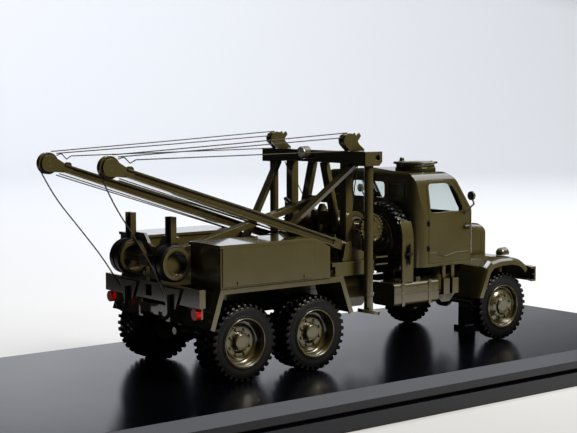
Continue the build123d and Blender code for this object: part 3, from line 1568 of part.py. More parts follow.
def winches():
    """Two winch drums end to end on one shaft, with a gearbox between them."""
    parts = [rod((winch_x, -winch_half_length, winch_z), (winch_x, winch_half_length, winch_z),
                 stub_radius)]
    base = bed_top_z + joint_clearance
    for side in (-1, 1):
        inner, outer = side * winch_gear_half, side * winch_drum_outer
        flange = side * winch_flange_thickness
        parts.append(rod((winch_x, inner, winch_z), (winch_x, outer, winch_z), winch_drum_radius))
        for y in (inner, outer):
            parts.append(rod((winch_x, y, winch_z), (winch_x, y + flange, winch_z), winch_flange_radius))
        foot_y = outer + 2 * flange
        parts.append(block(around(winch_x, winch_pedestal_width), sorted((foot_y, foot_y + flange)),
                           (base, winch_z + winch_pedestal_width)))
    parts.append(block(around(winch_x, winch_gear_half), around(0, winch_gear_half),
                       (base, winch_z + winch_gear_half)))
    return joined(parts)


# Booms

boom_run = boom_foot[0] - boom_tip[0]
boom_rise = boom_tip[1] - boom_foot[1]
boom_length = sqrt(boom_run ** 2 + boom_rise ** 2)
boom_cos = boom_run / boom_length
boom_sin = boom_rise / boom_length


def boom_point(along, across):
    """A point (x, z) by its distance from the foot pin along the boom and above its line."""
    return (boom_foot[0] - along * boom_cos + across * boom_sin,
            boom_foot[1] + along * boom_sin + across * boom_cos)


def boom_rod(along, across, y0, y1, radius):
    x, z = boom_point(along, across)
    return rod((x, y0, z), (x, y1, z), radius)


def boom_recesses(y):
    """The long hollows in a boom's two sides, which leave a band along its top and bottom."""
    root = boom_root_share * boom_length + boom_flange
    middle = boom_mid_share * boom_length
    nose = boom_nose_share * boom_length - tip_sheave_radius
    end, mid = boom_end_depth / 2 - boom_flange, boom_mid_depth / 2 - boom_flange
    stations = [(root, -end), (middle, -mid), (nose, -end), (nose, end), (middle, mid), (root, end)]
    outline = [boom_point(*station) for station in stations]
    hollows = []
    for step in (-1, 1):
        y_span = sorted((y + step * (boom_width / 2 - boom_flange_reach), y + step * boom_width))
        hollows.append(side_plate(outline, *y_span))
    return Compound([solid for hollow in hollows for solid in hollow.solids()])


def boom(side):
    """A tapered box arm with an eye at its foot and a forked tip."""
    y = side * boom_y
    shares = (boom_root_share, boom_mid_share, boom_nose_share)
    root, middle, nose = (share * boom_length for share in shares)
    end, mid = boom_end_depth / 2, boom_mid_depth / 2
    stations = [(root, -end), (middle, -mid), (nose, -end), (nose, end), (middle, mid), (root, end)]
    body = side_plate([boom_point(*station) for station in stations], y - boom_width / 2,
                      y + boom_width / 2)
    body = body - boom_recesses(y)
    neck_points = [(0, -boom_eye_radius), (root + overrun, -boom_eye_radius),
                   (root + overrun, boom_eye_radius),
                   (0, boom_eye_radius)]
    eye_span = around(y, boom_eye_width / 2)
    neck = side_plate([boom_point(*point) for point in neck_points], *eye_span)
    body = body + neck + boom_rod(0, 0, *eye_span, boom_eye_radius)
    body = body - boom_rod(0, 0, y - boom_width, y + boom_width, boom_pin_radius + boom_pin_fit)
    cheek_inner = boom_width / 2 - tip_cheek_thickness
    for step in (-1, 1):
        cheek_span = sorted((y + step * cheek_inner, y + step * boom_width / 2))
        tip_points = [(nose - overrun, -end), (boom_length, -tip_cheek_radius),
                      (boom_length, tip_cheek_radius),
                      (nose - overrun, end)]
        cheek = side_plate([boom_point(*point) for point in tip_points], *cheek_span)
        body = body + cheek + boom_rod(boom_length, 0, *cheek_span, tip_cheek_radius)
    slot_reach = tip_sheave_radius + tip_slot_gap
    slot = boom_rod(boom_length, 0, y - cheek_inner, y + cheek_inner, slot_reach)
    pin = boom_rod(boom_length, 0, y - boom_width, y + boom_width, boom_pin_radius + joint_clearance)
    lug = boom_rod(rope_lug_share * boom_length, end, y - rope_lug_radius, y + rope_lug_radius,
                   rope_lug_height)
    return body - slot - pin + lug


def boom_sheave(side):
    x, z = boom_point(boom_length, 0)
    disc = sheave(tip_sheave_radius, tip_sheave_thickness, sheave_groove, boom_pin_radius, boom_width / 2)
    return Pos(x, side * boom_y, z) * disc


def boom_brackets():
    """A clevis with its pin on the bed for each boom, reaching forwards from the pin."""
    x, z = boom_foot
    inner = boom_eye_width / 2 + bracket_gap
    outer = inner + bracket_ear_thickness
    base_z = bed_top_z + joint_clearance
    outline = [(x + past, base_z + height) for past, height in bracket_points]
    base = block((outline[0][0], outline[-1][0]), around(boom_y, outer),
                 (base_z, base_z + bracket_ear_thickness))
    pin = rod((x, boom_y - outer, z), (x, boom_y + outer, z), boom_pin_radius)
    bracket = base + pin
    for step in (-1, 1):
        y_span = sorted((boom_y + step * inner, boom_y + step * outer))
        boss = rod((x, y_span[0], z), (x, y_span[1], z), boom_eye_radius)
        bracket = bracket + side_plate(outline, *y_span) + boss
    return pair(bracket)


# Ropes

def stays(side):
    """The falls of rope from a boom's tip and its lug to the sheave on the gantry."""
    y = side * boom_y
    reach = rope_radius + joint_clearance
    tip_x, tip_z = boom_point(boom_length, tip_sheave_radius + reach)
    lug_x, lug_z = boom_point(rope_lug_share * boom_length, boom_end_depth / 2 + rope_lug_height + reach)
    upper = rod((tip_x, y, tip_z), (sheave_x, side * sheave_y, sheave_z + sheave_radius + reach),
                rope_radius)
    lower = rod((lug_x, y, lug_z), (beam_rear_x - reach, side * sheave_y, beam_top_z), rope_radius)
    return gathered([upper, lower])


def hoist_rope(side):
    """The slack rope that hangs from a boom's tip to the hook on the rear plate."""
    points = [(bogie_x - x, side * y, z) for x, y, z in hoist_route]
    radii = []
    for index in range(1, len(points) - 1):
        before = Vector(*points[index]) - Vector(*points[index - 1])
        after = Vector(*points[index + 1]) - Vector(*points[index])
        half_turn = radians(before.get_angle(after)) / 2
        radii.append(bend_share * min(before.length, after.length) / tan(half_turn))
    route = FilletPolyline(*points, radius=radii)
    tube = sweep(Plane(origin=route @ 0, z_dir=route % 0) * Circle(rope_radius), path=route)
    print("hoist rope bends", [round(radius, 1) for radius in radii], "length", round(route.length, 2),
          "volume", round(tube.volume, 3),
          "section by length", round(pi * rope_radius ** 2 * route.length, 3))
    return tube


def node_table():
    """Every node's shape by its name."""
    spare_tyre, spare_rim = spare_wheel()
    nodes = {
        "plinth": plinth(), "mount_posts": mount_posts(), "plinth_screws": plinth_screws(),
        "chassis_frame": chassis_frame(), "axles": gathered([axles(), drive_shafts()]),
        "leaf_springs": gathered([front_springs(), rear_springs()]),
        "engine": gathered([engine(), radiator(), transfer_box()]),
        "cab_shell": cab_shell(), "cab_glass": cab_glass(), "cab_interior": cab_interior(),
        "hood": hood(), "grille": grille(), "roof_hatch": roof_hatch(),
        "cab_fittings": gathered([mirrors(), door_handles()]), "front_fenders": front_fenders(),
        "front_bumper": front_bumper(), "headlamps": headlamps(), "headlamp_lenses": headlamp_lenses(),
        "fuel_tank": fuel_tank(), "cab_steps": gathered([cab_steps(), tool_tray()]),
        "spare_tyre": spare_tyre, "spare_rim": spare_rim,
        "spare_carrier": gathered([spare_stand(), spare_carrier()]),
        "deck": deck(), "rear_fenders": rear_fenders(), "side_boxes": pair(side_box()),
        "rear_plate": gathered([rear_plate(), tail_lamp_brackets()]),
        "tow_hooks": tow_hooks(), "tail_lamps": tail_lamps(),
        "push_rollers": push_rollers(), "roller_drums": roller_drums(),
        "roller_yoke": gathered([yoke(), stakes()]),
        "winch_bed": gathered([winch_bed(), boom_brackets()]),
        "gantry_beam": gantry_beam(), "gantry_legs": gantry_legs(),
        "gantry_uprights": gantry_uprights(), "struts": struts(), "spine": spine(),
        "gantry_sheaves": gathered([top_sheaves(), sheave_cheeks()]), "work_lamp": work_lamp(),
        "work_lamp_lens": work_lamp_lens(),
        "winches": winches(),
    }
    for side, name in ((1, "left"), (-1, "right")):
        nodes[f"boom_{name}"] = gathered([boom(side), boom_sheave(side)])
        nodes[f"stays_{name}"] = stays(side)
        nodes[f"hoist_rope_{name}"] = hoist_rope(side)
    nodes.update(wheels())
    return nodes


os.makedirs("parts", exist_ok=True)
for node_name, node_shape in node_table().items():
    save(node_name, node_shape)
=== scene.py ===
import math

import bmesh
import bpy
import numpy as np
from mathutils import Matrix, Vector


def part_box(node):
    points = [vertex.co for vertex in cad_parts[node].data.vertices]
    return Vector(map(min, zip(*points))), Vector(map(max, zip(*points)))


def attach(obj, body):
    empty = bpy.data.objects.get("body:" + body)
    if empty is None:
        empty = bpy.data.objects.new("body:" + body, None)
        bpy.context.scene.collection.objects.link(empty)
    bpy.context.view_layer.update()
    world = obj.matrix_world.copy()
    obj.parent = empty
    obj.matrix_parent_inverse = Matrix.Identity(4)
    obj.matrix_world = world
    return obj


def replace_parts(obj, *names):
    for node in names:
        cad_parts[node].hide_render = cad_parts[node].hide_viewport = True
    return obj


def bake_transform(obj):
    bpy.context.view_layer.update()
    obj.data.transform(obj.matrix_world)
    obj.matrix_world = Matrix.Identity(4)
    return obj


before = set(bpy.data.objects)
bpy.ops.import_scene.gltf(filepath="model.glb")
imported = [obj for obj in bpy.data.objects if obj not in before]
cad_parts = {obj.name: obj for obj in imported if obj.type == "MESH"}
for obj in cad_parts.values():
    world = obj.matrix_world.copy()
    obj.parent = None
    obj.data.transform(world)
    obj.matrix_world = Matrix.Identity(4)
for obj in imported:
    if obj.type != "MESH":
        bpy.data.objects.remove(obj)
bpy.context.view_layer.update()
print("frame loaded,", len(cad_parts), "nodes")

# Truck millimetres, with x = 0 at the front axle and z = 0 on the plinth, moved to the row frame in metres
truckOrigin = np.array([0.0662, 0.0, 0.0105])
millimetres = 1000.0    # in a metre


def place(points):
    return np.asarray(points, float) / millimetres + truckOrigin


def inTruck(points):
    # the other way round: row metres to truck millimetres
    return (np.asarray(points, float) - truckOrigin) * millimetres


def nodeCentre(name):
    return inTruck(np.mean(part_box(name), axis=0))


# Camera, at the photograph's own angle

cameraSettings = {
    "place": (-330.51, -330.15, 79.75),    # truck millimetres
    "yaw": 37.957,        # degrees from +Y towards +X
    "pitch": -4.858,
    "roll": -0.154,
    "lens": 82.64,        # millimetres, on a sensor 36 wide
    "sensor": 36.0,
    "clip": (0.01, 20),   # metres
}


def makeCamera(s):
    yaw, pitch, roll = (math.radians(s[k]) for k in ("yaw", "pitch", "roll"))
    forward = Vector((math.sin(yaw) * math.cos(pitch), math.cos(yaw) * math.cos(pitch), math.sin(pitch)))
    right = Vector((math.cos(yaw), -math.sin(yaw), 0))
    up = right.cross(forward)
    right, up = right * math.cos(roll) + up * math.sin(roll), up * math.cos(roll) - right * math.sin(roll)
    data = bpy.data.cameras.new("photoCamera")
    data.lens, data.sensor_width = s["lens"], s["sensor"]
    data.clip_start, data.clip_end = s["clip"]
    camera = bpy.data.objects.new("photoCamera", data)
    turn = Matrix((right, up, -forward)).transposed().to_4x4()
    camera.matrix_world = Matrix.Translation(place(s["place"])) @ turn
    bpy.context.scene.collection.objects.link(camera)
    bpy.context.scene.camera = camera


makeCamera(cameraSettings)
print("camera ready")


# Meshes

def gridFaces(rows, columns, closeRows, closeColumns):
    # quads between neighbouring points of a rows by columns grid, joined round where it closes
    i = np.arange(rows if closeRows else rows - 1)[:, None]
    j = np.arange(columns if closeColumns else columns - 1)[None, :]
    down, along = (i + 1) % rows, (j + 1) % columns
    quads = np.stack([i * columns + j, down * columns + j, down * columns + along, i * columns + along], -1)
    return quads.reshape(-1, 4)


def facingOut(points, faces):
    # a closed shell's faces, turned over if its signed volume is negative
    a, b, c, d = (points[faces[:, k]] for k in range(4))
    volume = np.einsum("ij,ij->i", a, np.cross(b, c)).sum() + np.einsum("ij,ij->i", a, np.cross(c, d)).sum()
    return faces if volume > 0 else faces[:, ::-1]


def shell(grid, closeRows=True, closeColumns=True):
    points = grid.reshape(-1, 3)
    faces = gridFaces(grid.shape[0], grid.shape[1], closeRows, closeColumns)
    return points, facingOut(points - points.mean(0), faces)


def roundedLine(points, times):
    # cuts each corner of an open line at a quarter of its sides, and keeps both ends
    line = np.asarray(points, float)
    for step in range(times):
        near, far = line[:-1] * 0.75 + line[1:] * 0.25, line[:-1] * 0.25 + line[1:] * 0.75
        cut = np.stack([near, far], 1).reshape(-1, line.shape[1])
        line = np.concatenate([line[:1], cut[1:-1], line[-1:]])
    return line


def turned(profile, count):
    # radius and reach of a closed profile, carried round the Y axis: x = r cos u, z = r sin u
    profile = np.asarray(profile, float)
    u = np.linspace(0, 2 * np.pi, count, endpoint=False)[:, None]
    r, y = profile[None, :, 0], profile[None, :, 1]
    return shell(np.stack([r * np.cos(u), np.broadcast_to(y, (count, len(profile))), r * np.sin(u)], -1))


def upright(part, centre):
    # a part drawn along +Y, stood up along +Z at its centre
    points, faces = part
    return points[:, [0, 2, 1]] * np.array([1, -1, 1]) + np.array(centre, float), faces


def rectangle(x0, x1, z0, z1):
    return [(x0, z0), (x1, z0), (x1, z1), (x0, z1)]


def prism(outline, reach, bevel):
    # an outline in x and z carried along y over its reach, its ends drawn in by the bevel:
    # p -> c + (p - c)(1 - bevel / |p - c|), and closed at c
    low, high = reach
    line = np.asarray(outline, float)
    centre = line.mean(0)
    away = line - centre
    inset = centre + away * (1 - bevel / np.linalg.norm(away, axis=1))[:, None]
    middle = np.repeat(centre[None], len(line), 0)
    rows = [(middle, low), (inset, low), (line, low + bevel),
            (line, high - bevel), (inset, high), (middle, high)]
    return shell(np.stack([np.insert(flat, 1, y, axis=1) for flat, y in rows]), closeRows=False)


toothPlaces = (0.0, 0.38, 0.5, 0.88)    # tip's start and end, gap's start and end, in shares of a pitch


def toothed(profile, teeth, depth):
    # radius, reach and tooth share of a closed profile, carried round Y: the radius drops by its share of
    # the depth in the gap after each tooth
    profile = np.asarray(profile, float)
    u = ((np.arange(teeth)[:, None] + np.array(toothPlaces)).ravel() * 2 * np.pi / teeth)[:, None]
    gap = np.tile([0.0, 0.0, 1.0, 1.0], teeth)[:, None]
    r = profile[None, :, 0] - depth * gap * profile[None, :, 2]
    return shell(np.stack([r * np.cos(u), np.broadcast_to(profile[None, :, 1], r.shape), r * np.sin(u)], -1))


def facing(part, centre, heading):
    # a part drawn along +Y, turned about Z by heading degrees and moved to its centre, in truck millimetres
    points, faces = part
    angle = math.radians(heading)
    c, s = math.cos(angle), math.sin(angle)
    turn = np.array([[c, -s, 0], [s, c, 0], [0, 0, 1]])
    return points @ turn.T + np.array(centre, float), faces


weldDistance, lostEdge = 2e-7, 1e-8    # metres: closer points are one, and shorter edges go


def makePiece(name, parts, material, sharp=35):
    points, faces, start = [], [], 0
    for partPoints, partFaces in parts:
        points.append(partPoints)
        faces.append(partFaces + start)
        start += len(partPoints)
    mesh = bpy.data.meshes.new(name)
    mesh.from_pydata(place(np.concatenate(points)).tolist(), [], np.concatenate(faces).tolist())
    welded = bmesh.new()
    welded.from_mesh(mesh)
    bmesh.ops.remove_doubles(welded, verts=welded.verts, dist=weldDistance)
    bmesh.ops.dissolve_degenerate(welded, edges=welded.edges, dist=lostEdge)
    welded.to_mesh(mesh)
    welded.free()
    mesh.shade_smooth()
    mesh.set_sharp_from_angle(angle=math.radians(sharp))
    mesh.materials.append(material)
    piece = bpy.data.objects.new(name, mesh)
    bpy.context.scene.collection.objects.link(piece)
    return piece


def fitted(name, parts, slot, body, sharp=35, instead=None):
    # a piece in its slot's finish, riding on its body, in place of a node where it stands for one
    piece = makePiece(name, parts, finishes[slot], sharp)
    if instead:
        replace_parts(piece, instead)
    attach(piece, body)


# Materials

def linear(code):
    # sRGB hex to linear RGBA
    parts = [int(code[k:k + 2], 16) / 255 for k in (1, 3, 5)]
    return tuple(p / 12.92 if p <= 0.04045 else ((p + 0.055) / 1.055) ** 2.4 for p in parts) + (1.0,)


def addNode(tree, kind, values=None, links=None, **settings):
    # one node with its settings, its sockets' values and what feeds them
    node = tree.nodes.new(kind)
    for name, value in settings.items():
        setattr(node, name, value)
    for name, value in (values or {}).items():
        node.inputs[name].default_value = value
    for name, source in (links or {}).items():
        tree.links.new(source, node.inputs[name])
    return node


def newMaterial(name):
    material = bpy.data.materials.new(name)
    material.use_nodes = True
    tree = material.node_tree
    tree.nodes.clear()
    shader = addNode(tree, "ShaderNodeBsdfPrincipled")
    addNode(tree, "ShaderNodeOutputMaterial", links={"Surface": shader.outputs[0]})
    where = addNode(tree, "ShaderNodeTexCoord").outputs["Object"]
    return material, tree, shader, where


def perMetre(size):
    # the scale of a pattern with features of that size in millimetres
    return millimetres / size


def sprayedOliveEnamel(name, s):
    # Satin olive enamel sprayed on zinc casting: a soft broad gloss, a faint orange peel, painted shade that
    # darkens the corners and recesses, and a painted highlight, paler and warmer, on the edges
    material, tree, shader, where = newMaterial(name)
    cloud = addNode(tree, "ShaderNodeTexNoise", {"Scale": perMetre(s["cloudSize"]), "Detail": 3.0},
                    {"Vector": where})
    body = addNode(tree, "ShaderNodeMix", {6: linear(s["dark"]), 7: linear(s["light"])},
                   {"Factor": cloud.outputs["Fac"]}, data_type="RGBA")
    edge = addNode(tree, "ShaderNodeBevel", {"Radius": s["edgeRadius"] / millimetres}, samples=4)
    flat = addNode(tree, "ShaderNodeNewGeometry")
    turn = addNode(tree, "ShaderNodeVectorMath", links={0: edge.outputs[0], 1: flat.outputs["Normal"]},
                   operation="DOT_PRODUCT")
    # the cosine between the rounded and the flat normal falls on an edge, where a paler, warmer colour is mixed
    # in as a painted highlight
    unhighlighted, fullyHighlighted = s["edgeCosines"]
    edgeHighlightMask = addNode(tree, "ShaderNodeMapRange",
                   {"From Min": unhighlighted, "From Max": fullyHighlighted, "To Max": s["paintedEdgeHighlight"]},
                   {"Value": turn.outputs["Value"]})
    coat = addNode(tree, "ShaderNodeMix", {7: linear(s["edge"])},
                   {"Factor": edgeHighlightMask.outputs[0], 6: body.outputs[2]}, data_type="RGBA")
    # painted shade: ambient occlusion darkens the colour in corners, creases and recesses, where shade falls
    paintedShadeAO = addNode(tree, "ShaderNodeAmbientOcclusion", {"Distance": s["paintedShadeReach"] / millimetres}, samples=4)
    closed, opened = s["paintedShadeShares"]
    shade = addNode(tree, "ShaderNodeMapRange",
                    {"From Min": closed, "From Max": opened, "To Min": s["paintedShadeDark"]},
                    {"Value": paintedShadeAO.outputs["AO"]})
    colour = addNode(tree, "ShaderNodeMix", {"Factor": 1.0}, {6: coat.outputs[2], 7: shade.outputs[0]},
                     data_type="RGBA", blend_type="MULTIPLY")
    peel = addNode(tree, "ShaderNodeTexNoise", {"Scale": perMetre(s["peelSize"]), "Detail": 2.0},
                   {"Vector": where})
    bump = addNode(tree, "ShaderNodeBump",
                   {"Strength": s["peelStrength"], "Distance": s["peelDepth"] / millimetres},
                   {"Height": peel.outputs["Fac"], "Normal": edge.outputs[0]})
    gloss = addNode(tree, "ShaderNodeMapRange", {"To Min": s["gloss"][0], "To Max": s["gloss"][1]},
                    {"Value": cloud.outputs["Fac"]})
    tree.links.new(colour.outputs[2], shader.inputs["Base Color"])
    tree.links.new(gloss.outputs[0], shader.inputs["Roughness"])
    tree.links.new(bump.outputs[0], shader.inputs["Normal"])
    shader.inputs["IOR"].default_value = s["ior"]
    shader.inputs["Coat Weight"].default_value = s["coat"]
    shader.inputs["Coat Roughness"].default_value = s["coatRoughness"]
    return material


def mouldedPlastic(name, s):
    # Injection-moulded polystyrene: even colour, a skin that is smooth or finely frosted by the mould
    material, tree, shader, where = newMaterial(name)
    cloud = addNode(tree, "ShaderNodeTexNoise", {"Scale": perMetre(s["cloudSize"]), "Detail": 4.0},
                    {"Vector": where})
    colour = addNode(tree, "ShaderNodeMix", {6: linear(s["dark"]), 7: linear(s["light"])},
                     {"Factor": cloud.outputs["Fac"]}, data_type="RGBA")
    gloss = addNode(tree, "ShaderNodeMapRange", {"To Min": s["gloss"][0], "To Max": s["gloss"][1]},
                    {"Value": cloud.outputs["Fac"]})
    frost = addNode(tree, "ShaderNodeTexNoise", {"Scale": perMetre(s["frostSize"]), "Detail": 2.0},
                    {"Vector": where})
    edge = addNode(tree, "ShaderNodeBevel", {"Radius": s["edgeRadius"] / millimetres}, samples=4)
    bump = addNode(tree, "ShaderNodeBump",
                   {"Strength": s["frostStrength"], "Distance": s["frostDepth"] / millimetres},
                   {"Height": frost.outputs["Fac"], "Normal": edge.outputs[0]})
    tree.links.new(colour.outputs[2], shader.inputs["Base Color"])
    tree.links.new(gloss.outputs[0], shader.inputs["Roughness"])
    tree.links.new(bump.outputs[0], shader.inputs["Normal"])
    shader.inputs["IOR"].default_value = s["ior"]
    return material


def clearMoulding(name, s):
    # Clear polystyrene from a polished mould: water-clear and thin, with a faint cool tint
    material, tree, shader, where = newMaterial(name)
    haze = addNode(tree, "ShaderNodeTexNoise", {"Scale": perMetre(s["hazeSize"]), "Detail": 2.0},
                   {"Vector": where})
    gloss = addNode(tree, "ShaderNodeMapRange", {"To Min": s["gloss"][0], "To Max": s["gloss"][1]},
                    {"Value": haze.outputs["Fac"]})
    tree.links.new(gloss.outputs[0], shader.inputs["Roughness"])
    shader.inputs["Base Color"].default_value = linear(s["tint"])
    shader.inputs["Transmission Weight"].default_value = s["clear"]
    shader.inputs["IOR"].default_value = s["ior"]
    return material


def twistedThread(name, s):
    # Twisted polyester sewing thread, dyed dark and waxed: uneven fine strands with a soft sheen
    material, tree, shader, where = newMaterial(name)
    strand = addNode(tree, "ShaderNodeTexNoise", {"Scale": perMetre(s["strandSize"]), "Detail": 3.0},
                     {"Vector": where})
    colour = addNode(tree, "ShaderNodeMix", {6: linear(s["dark"]), 7: linear(s["light"])},
                     {"Factor": strand.outputs["Fac"]}, data_type="RGBA")
    bump = addNode(tree, "ShaderNodeBump",
                   {"Strength": s["strandStrength"], "Distance": s["strandDepth"] / millimetres},
                   {"Height": strand.outputs["Fac"]})
    tree.links.new(colour.outputs[2], shader.inputs["Base Color"])
    tree.links.new(bump.outputs[0], shader.inputs["Normal"])
    shader.inputs["Roughness"].default_value = s["roughness"]
    shader.inputs["Sheen Weight"].default_value = s["sheen"]
    shader.inputs["Sheen Roughness"].default_value = s["sheenRoughness"]
    return material


def machinedSteel(name, s):
    # Turned mild steel, zinc plated: bluish grey, its gloss broken by fine turning marks
    material, tree, shader, where = newMaterial(name)
    marks = addNode(tree, "ShaderNodeTexNoise", {"Scale": perMetre(s["markSize"]), "Detail": 4.0},
                    {"Vector": where})
    gloss = addNode(tree, "ShaderNodeMapRange", {"To Min": s["gloss"][0], "To Max": s["gloss"][1]},
                    {"Value": marks.outputs["Fac"]})
    tree.links.new(gloss.outputs[0], shader.inputs["Roughness"])
    shader.inputs["Base Color"].default_value = linear(s["colour"])
    shader.inputs["Metallic"].default_value = 1.0
    return material


# Sizes, depths, radii and reaches in millimetres
oliveSettings = {
    # the edge colour is a painted highlight, mixed in along edges
    "dark": "#46422e", "light": "#524d37", "edge": "#8c835c", "cloudSize": 9.0, "gloss": (0.2, 0.28),
    # the gap reach, shares and darkness set the painted shade in corners and recesses
    "ior": 1.6, "edgeRadius": 0.16, "edgeCosines": (0.995, 0.88), "paintedEdgeHighlight": 0.6, "paintedShadeReach": 2.2,
    "paintedShadeShares": (0.35, 0.95), "paintedShadeDark": 0.25, "peelSize": 0.28, "peelDepth": 0.01, "peelStrength": 0.4,
    "coat": 1.0, "coatRoughness": 0.05,
}
plinthSettings = {
    "dark": "#080a12", "light": "#0c0e18", "cloudSize": 30.0, "gloss": (0.17, 0.22), "frostSize": 0.6,
    "frostDepth": 0.004, "frostStrength": 0.25, "edgeRadius": 0.25, "ior": 1.55,
}
blackSettings = {
    "dark": "#0e0e0f", "light": "#19191a", "cloudSize": 4.0, "gloss": (0.36, 0.5), "frostSize": 0.15,
    "frostDepth": 0.01, "frostStrength": 0.4, "edgeRadius": 0.1, "ior": 1.5,
}
interiorSettings = dict(blackSettings, dark="#1b1a18", light="#2a2825", gloss=(0.5, 0.65))
tyreRubberSettings = {
    "dark": "#090a0d", "light": "#121419", "cloudSize": 2.2, "gloss": (0.36, 0.5), "frostSize": 0.12,
    "frostDepth": 0.02, "frostStrength": 0.6, "edgeRadius": 0.08, "ior": 1.52,
}
rollerRubberSettings = dict(tyreRubberSettings, dark="#0c0c0d", light="#161617", gloss=(0.38, 0.5))
redLensSettings = {
    "dark": "#c40802", "light": "#e21208", "cloudSize": 1.2, "gloss": (0.1, 0.18), "frostSize": 0.25,
    "frostDepth": 0.02, "frostStrength": 0.5, "edgeRadius": 0.08, "ior": 1.5,
}
glazingSettings = {"tint": "#eef4f2", "clear": 1.0, "ior": 1.45, "hazeSize": 12.0, "gloss": (0.02, 0.06)}
lampLensSettings = {"tint": "#f8f8f4", "clear": 0.35, "ior": 1.5, "hazeSize": 1.0, "gloss": (0.05, 0.15)}
screwSettings = {"colour": "#8e8f92", "markSize": 0.3, "gloss": (0.25, 0.45)}
threadSettings = {
    "dark": "#17140f", "light": "#3a342a", "strandSize": 0.12, "strandDepth": 0.03, "strandStrength": 0.6,
    "roughness": 0.7, "sheen": 0.4, "sheenRoughness": 0.5,
}

finishes = {
    "olive_paint": sprayedOliveEnamel("sprayedOliveEnamel", oliveSettings),
    "plinth_black": mouldedPlastic("glossMouldedPolystyrene", plinthSettings),
    "black_plastic": mouldedPlastic("satinMouldedPolystyrene", blackSettings),
    "dark_interior": mouldedPlastic("mattMouldedInterior", interiorSettings),
    "tyre_rubber": mouldedPlastic("mouldedTyreRubber", tyreRubberSettings),
    "roller_rubber": mouldedPlastic("mouldedRollerRubber", rollerRubberSettings),
    "clear_plastic": clearMoulding("clearGlazing", glazingSettings),
    "lamp_lens": clearMoulding("clearLampLens", lampLensSettings),
    "red_lens": mouldedPlastic("redLampMoulding", redLensSettings),
    "screw_steel": machinedSteel("platedScrewSteel", screwSettings),
    "rope_thread": twistedThread("twistedPolyesterThread", threadSettings),
}
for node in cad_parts.values():
    for slot in node.material_slots:
        slot.material = finishes[slot.material.name.split(".")[0]]
print("finishes ready,", len(finishes))


# Wheels

tyreSettings = {
    "lugHeight": 0.85, "lugCount": 33, "lugSpread": 0.14, "shoulder": 10.38,
    # a lug's foot, top, middle and end, and the foot and middle of the gap after it, in shares of a pitch
    "lugPlaces": (0.0, 0.07, 0.27, 0.5, 0.57, 0.77),
    # radius, reach, share of the lug's height, from the bead to the middle of the tread
    "section": [(7.12, 2.05, 0), (7.37, 2.28, 0), (7.72, 2.3, 0), (7.82, 2.16, 0), (8.27, 2.2, 0),
                (9.02, 2.38, 0), (9.53, 2.35, 0), (9.58, 2.27, 0), (9.73, 2.27, 0), (9.8, 2.24, 0),
                (9.93, 2.24, 0.3), (10.18, 2.12, 0.75), (10.36, 1.92, 0.95), (10.48, 1.65, 1),
                (10.5, 1.0, 1), (10.48, 0.42, 1), (10.48, 0.36, 0), (10.48, 0.12, 0)],
    # how far out from the truck's middle the tyres of one wheel stand
    "frontCentres": (22.1,), "rearCentres": (24.0, 18.4),
}


def tyrePart(s):
    # a closed section carried round the axle; the radius swells by the lug height where a lug stands, in two
    # rows that are half a pitch apart, and below the shoulder the lugs also swell sideways
    side, count = s["section"], s["lugCount"]
    rows = np.array(side + [(r, -y, w) for r, y, w in side[::-1]])
    rowSide = np.sign(rows[:, 1])
    u = ((np.arange(count)[:, None] + np.array(s["lugPlaces"])).ravel() * 2 * np.pi / count)[:, None]
    near = np.tile([0.0, 1.0, 1.0, 1.0, 0.0, 0.0], count)[:, None]
    mask = np.where(rowSide[None, :] > 0, near, 1 - near) * rows[None, :, 2]
    r = rows[None, :, 0] + s["lugHeight"] * mask
    reach = rows[None, :, 1] + s["lugSpread"] * mask * rowSide[None, :] * (rows[None, :, 0] < s["shoulder"])
    return shell(np.stack([r * np.cos(u), reach, r * np.sin(u)], -1))


rimSettings = {
    "rounding": 2, "steps": 72, "nutCount": 8, "nutCircle": 3.75,
    "nut": [(0, -0.1), (0.46, -0.1), (0.46, 0.336), (0.391, 0.42), (0.2, 0.42), (0.2, 0.588), (0, 0.588)],
    # radius and reach of the outer surface, from the lip to the axle, of the hidden one behind it, and the
    # reach of the face that the nuts stand on
    "frontFace": [(7.2, 2.12), (7.22, 2.36), (7.0, 2.44), (6.78, 2.32), (6.62, 1.95), (6.55, 1.25), (6.2, 1.0),
                  (5.4, 1.15), (4.7, 1.62), (4.45, 1.72), (4.4, 1.9), (3.1, 1.98), (2.85, 1.9), (2.75, 2.2),
                  (2.62, 2.5), (2.3, 2.6), (1.9, 2.5), (0, 2.5)],
    "frontBack": [(0, 1.65), (1.15, 1.65), (1.15, -1.9), (2.7, -1.9), (2.7, 1.0), (4.4, 0.8), (5.4, 0.3),
                  (6.4, 0.2), (6.59, -2.3), (7.08, -2.38)],
    "frontNuts": 1.92,
    "rearFace": [(7.2, 2.12), (7.22, 2.36), (7.0, 2.44), (6.78, 2.32), (6.62, 1.95), (6.6, 0.3), (6.45, -0.35),
                 (6.0, -0.7), (5.3, -0.78), (4.95, -0.55), (4.75, -0.42), (3.2, -0.4), (2.85, -0.55),
                 (2.6, -0.4), (2.5, 0.5), (2.35, 0.9), (1.95, 1.0), (1.6, 0.92), (0, 0.92)],
    "rearBack": [(0, 0.05), (1.15, 0.05), (1.15, -7.5), (2.7, -7.5), (2.7, -1.4), (5.3, -1.6), (6.3, -1.5),
                 (6.59, -7.9), (7.08, -7.98)],
    "rearNuts": -0.42,
}


def rimParts(s, end):
    # a closed profile turned round the axle, and a ring of six-sided nuts
    face = roundedLine(s[end + "Face"], s["rounding"])
    parts = [turned(np.concatenate([face, np.array(s[end + "Back"])]), s["steps"])]
    nut, nutFaces = turned(s["nut"], 6)
    for index in range(s["nutCount"]):
        angle = 2 * math.pi * (index + 0.5) / s["nutCount"]
        centre = np.array([s["nutCircle"] * math.cos(angle), s[end + "Nuts"], s["nutCircle"] * math.sin(angle)])
        parts.append((nut + centre, nutFaces))
    return parts


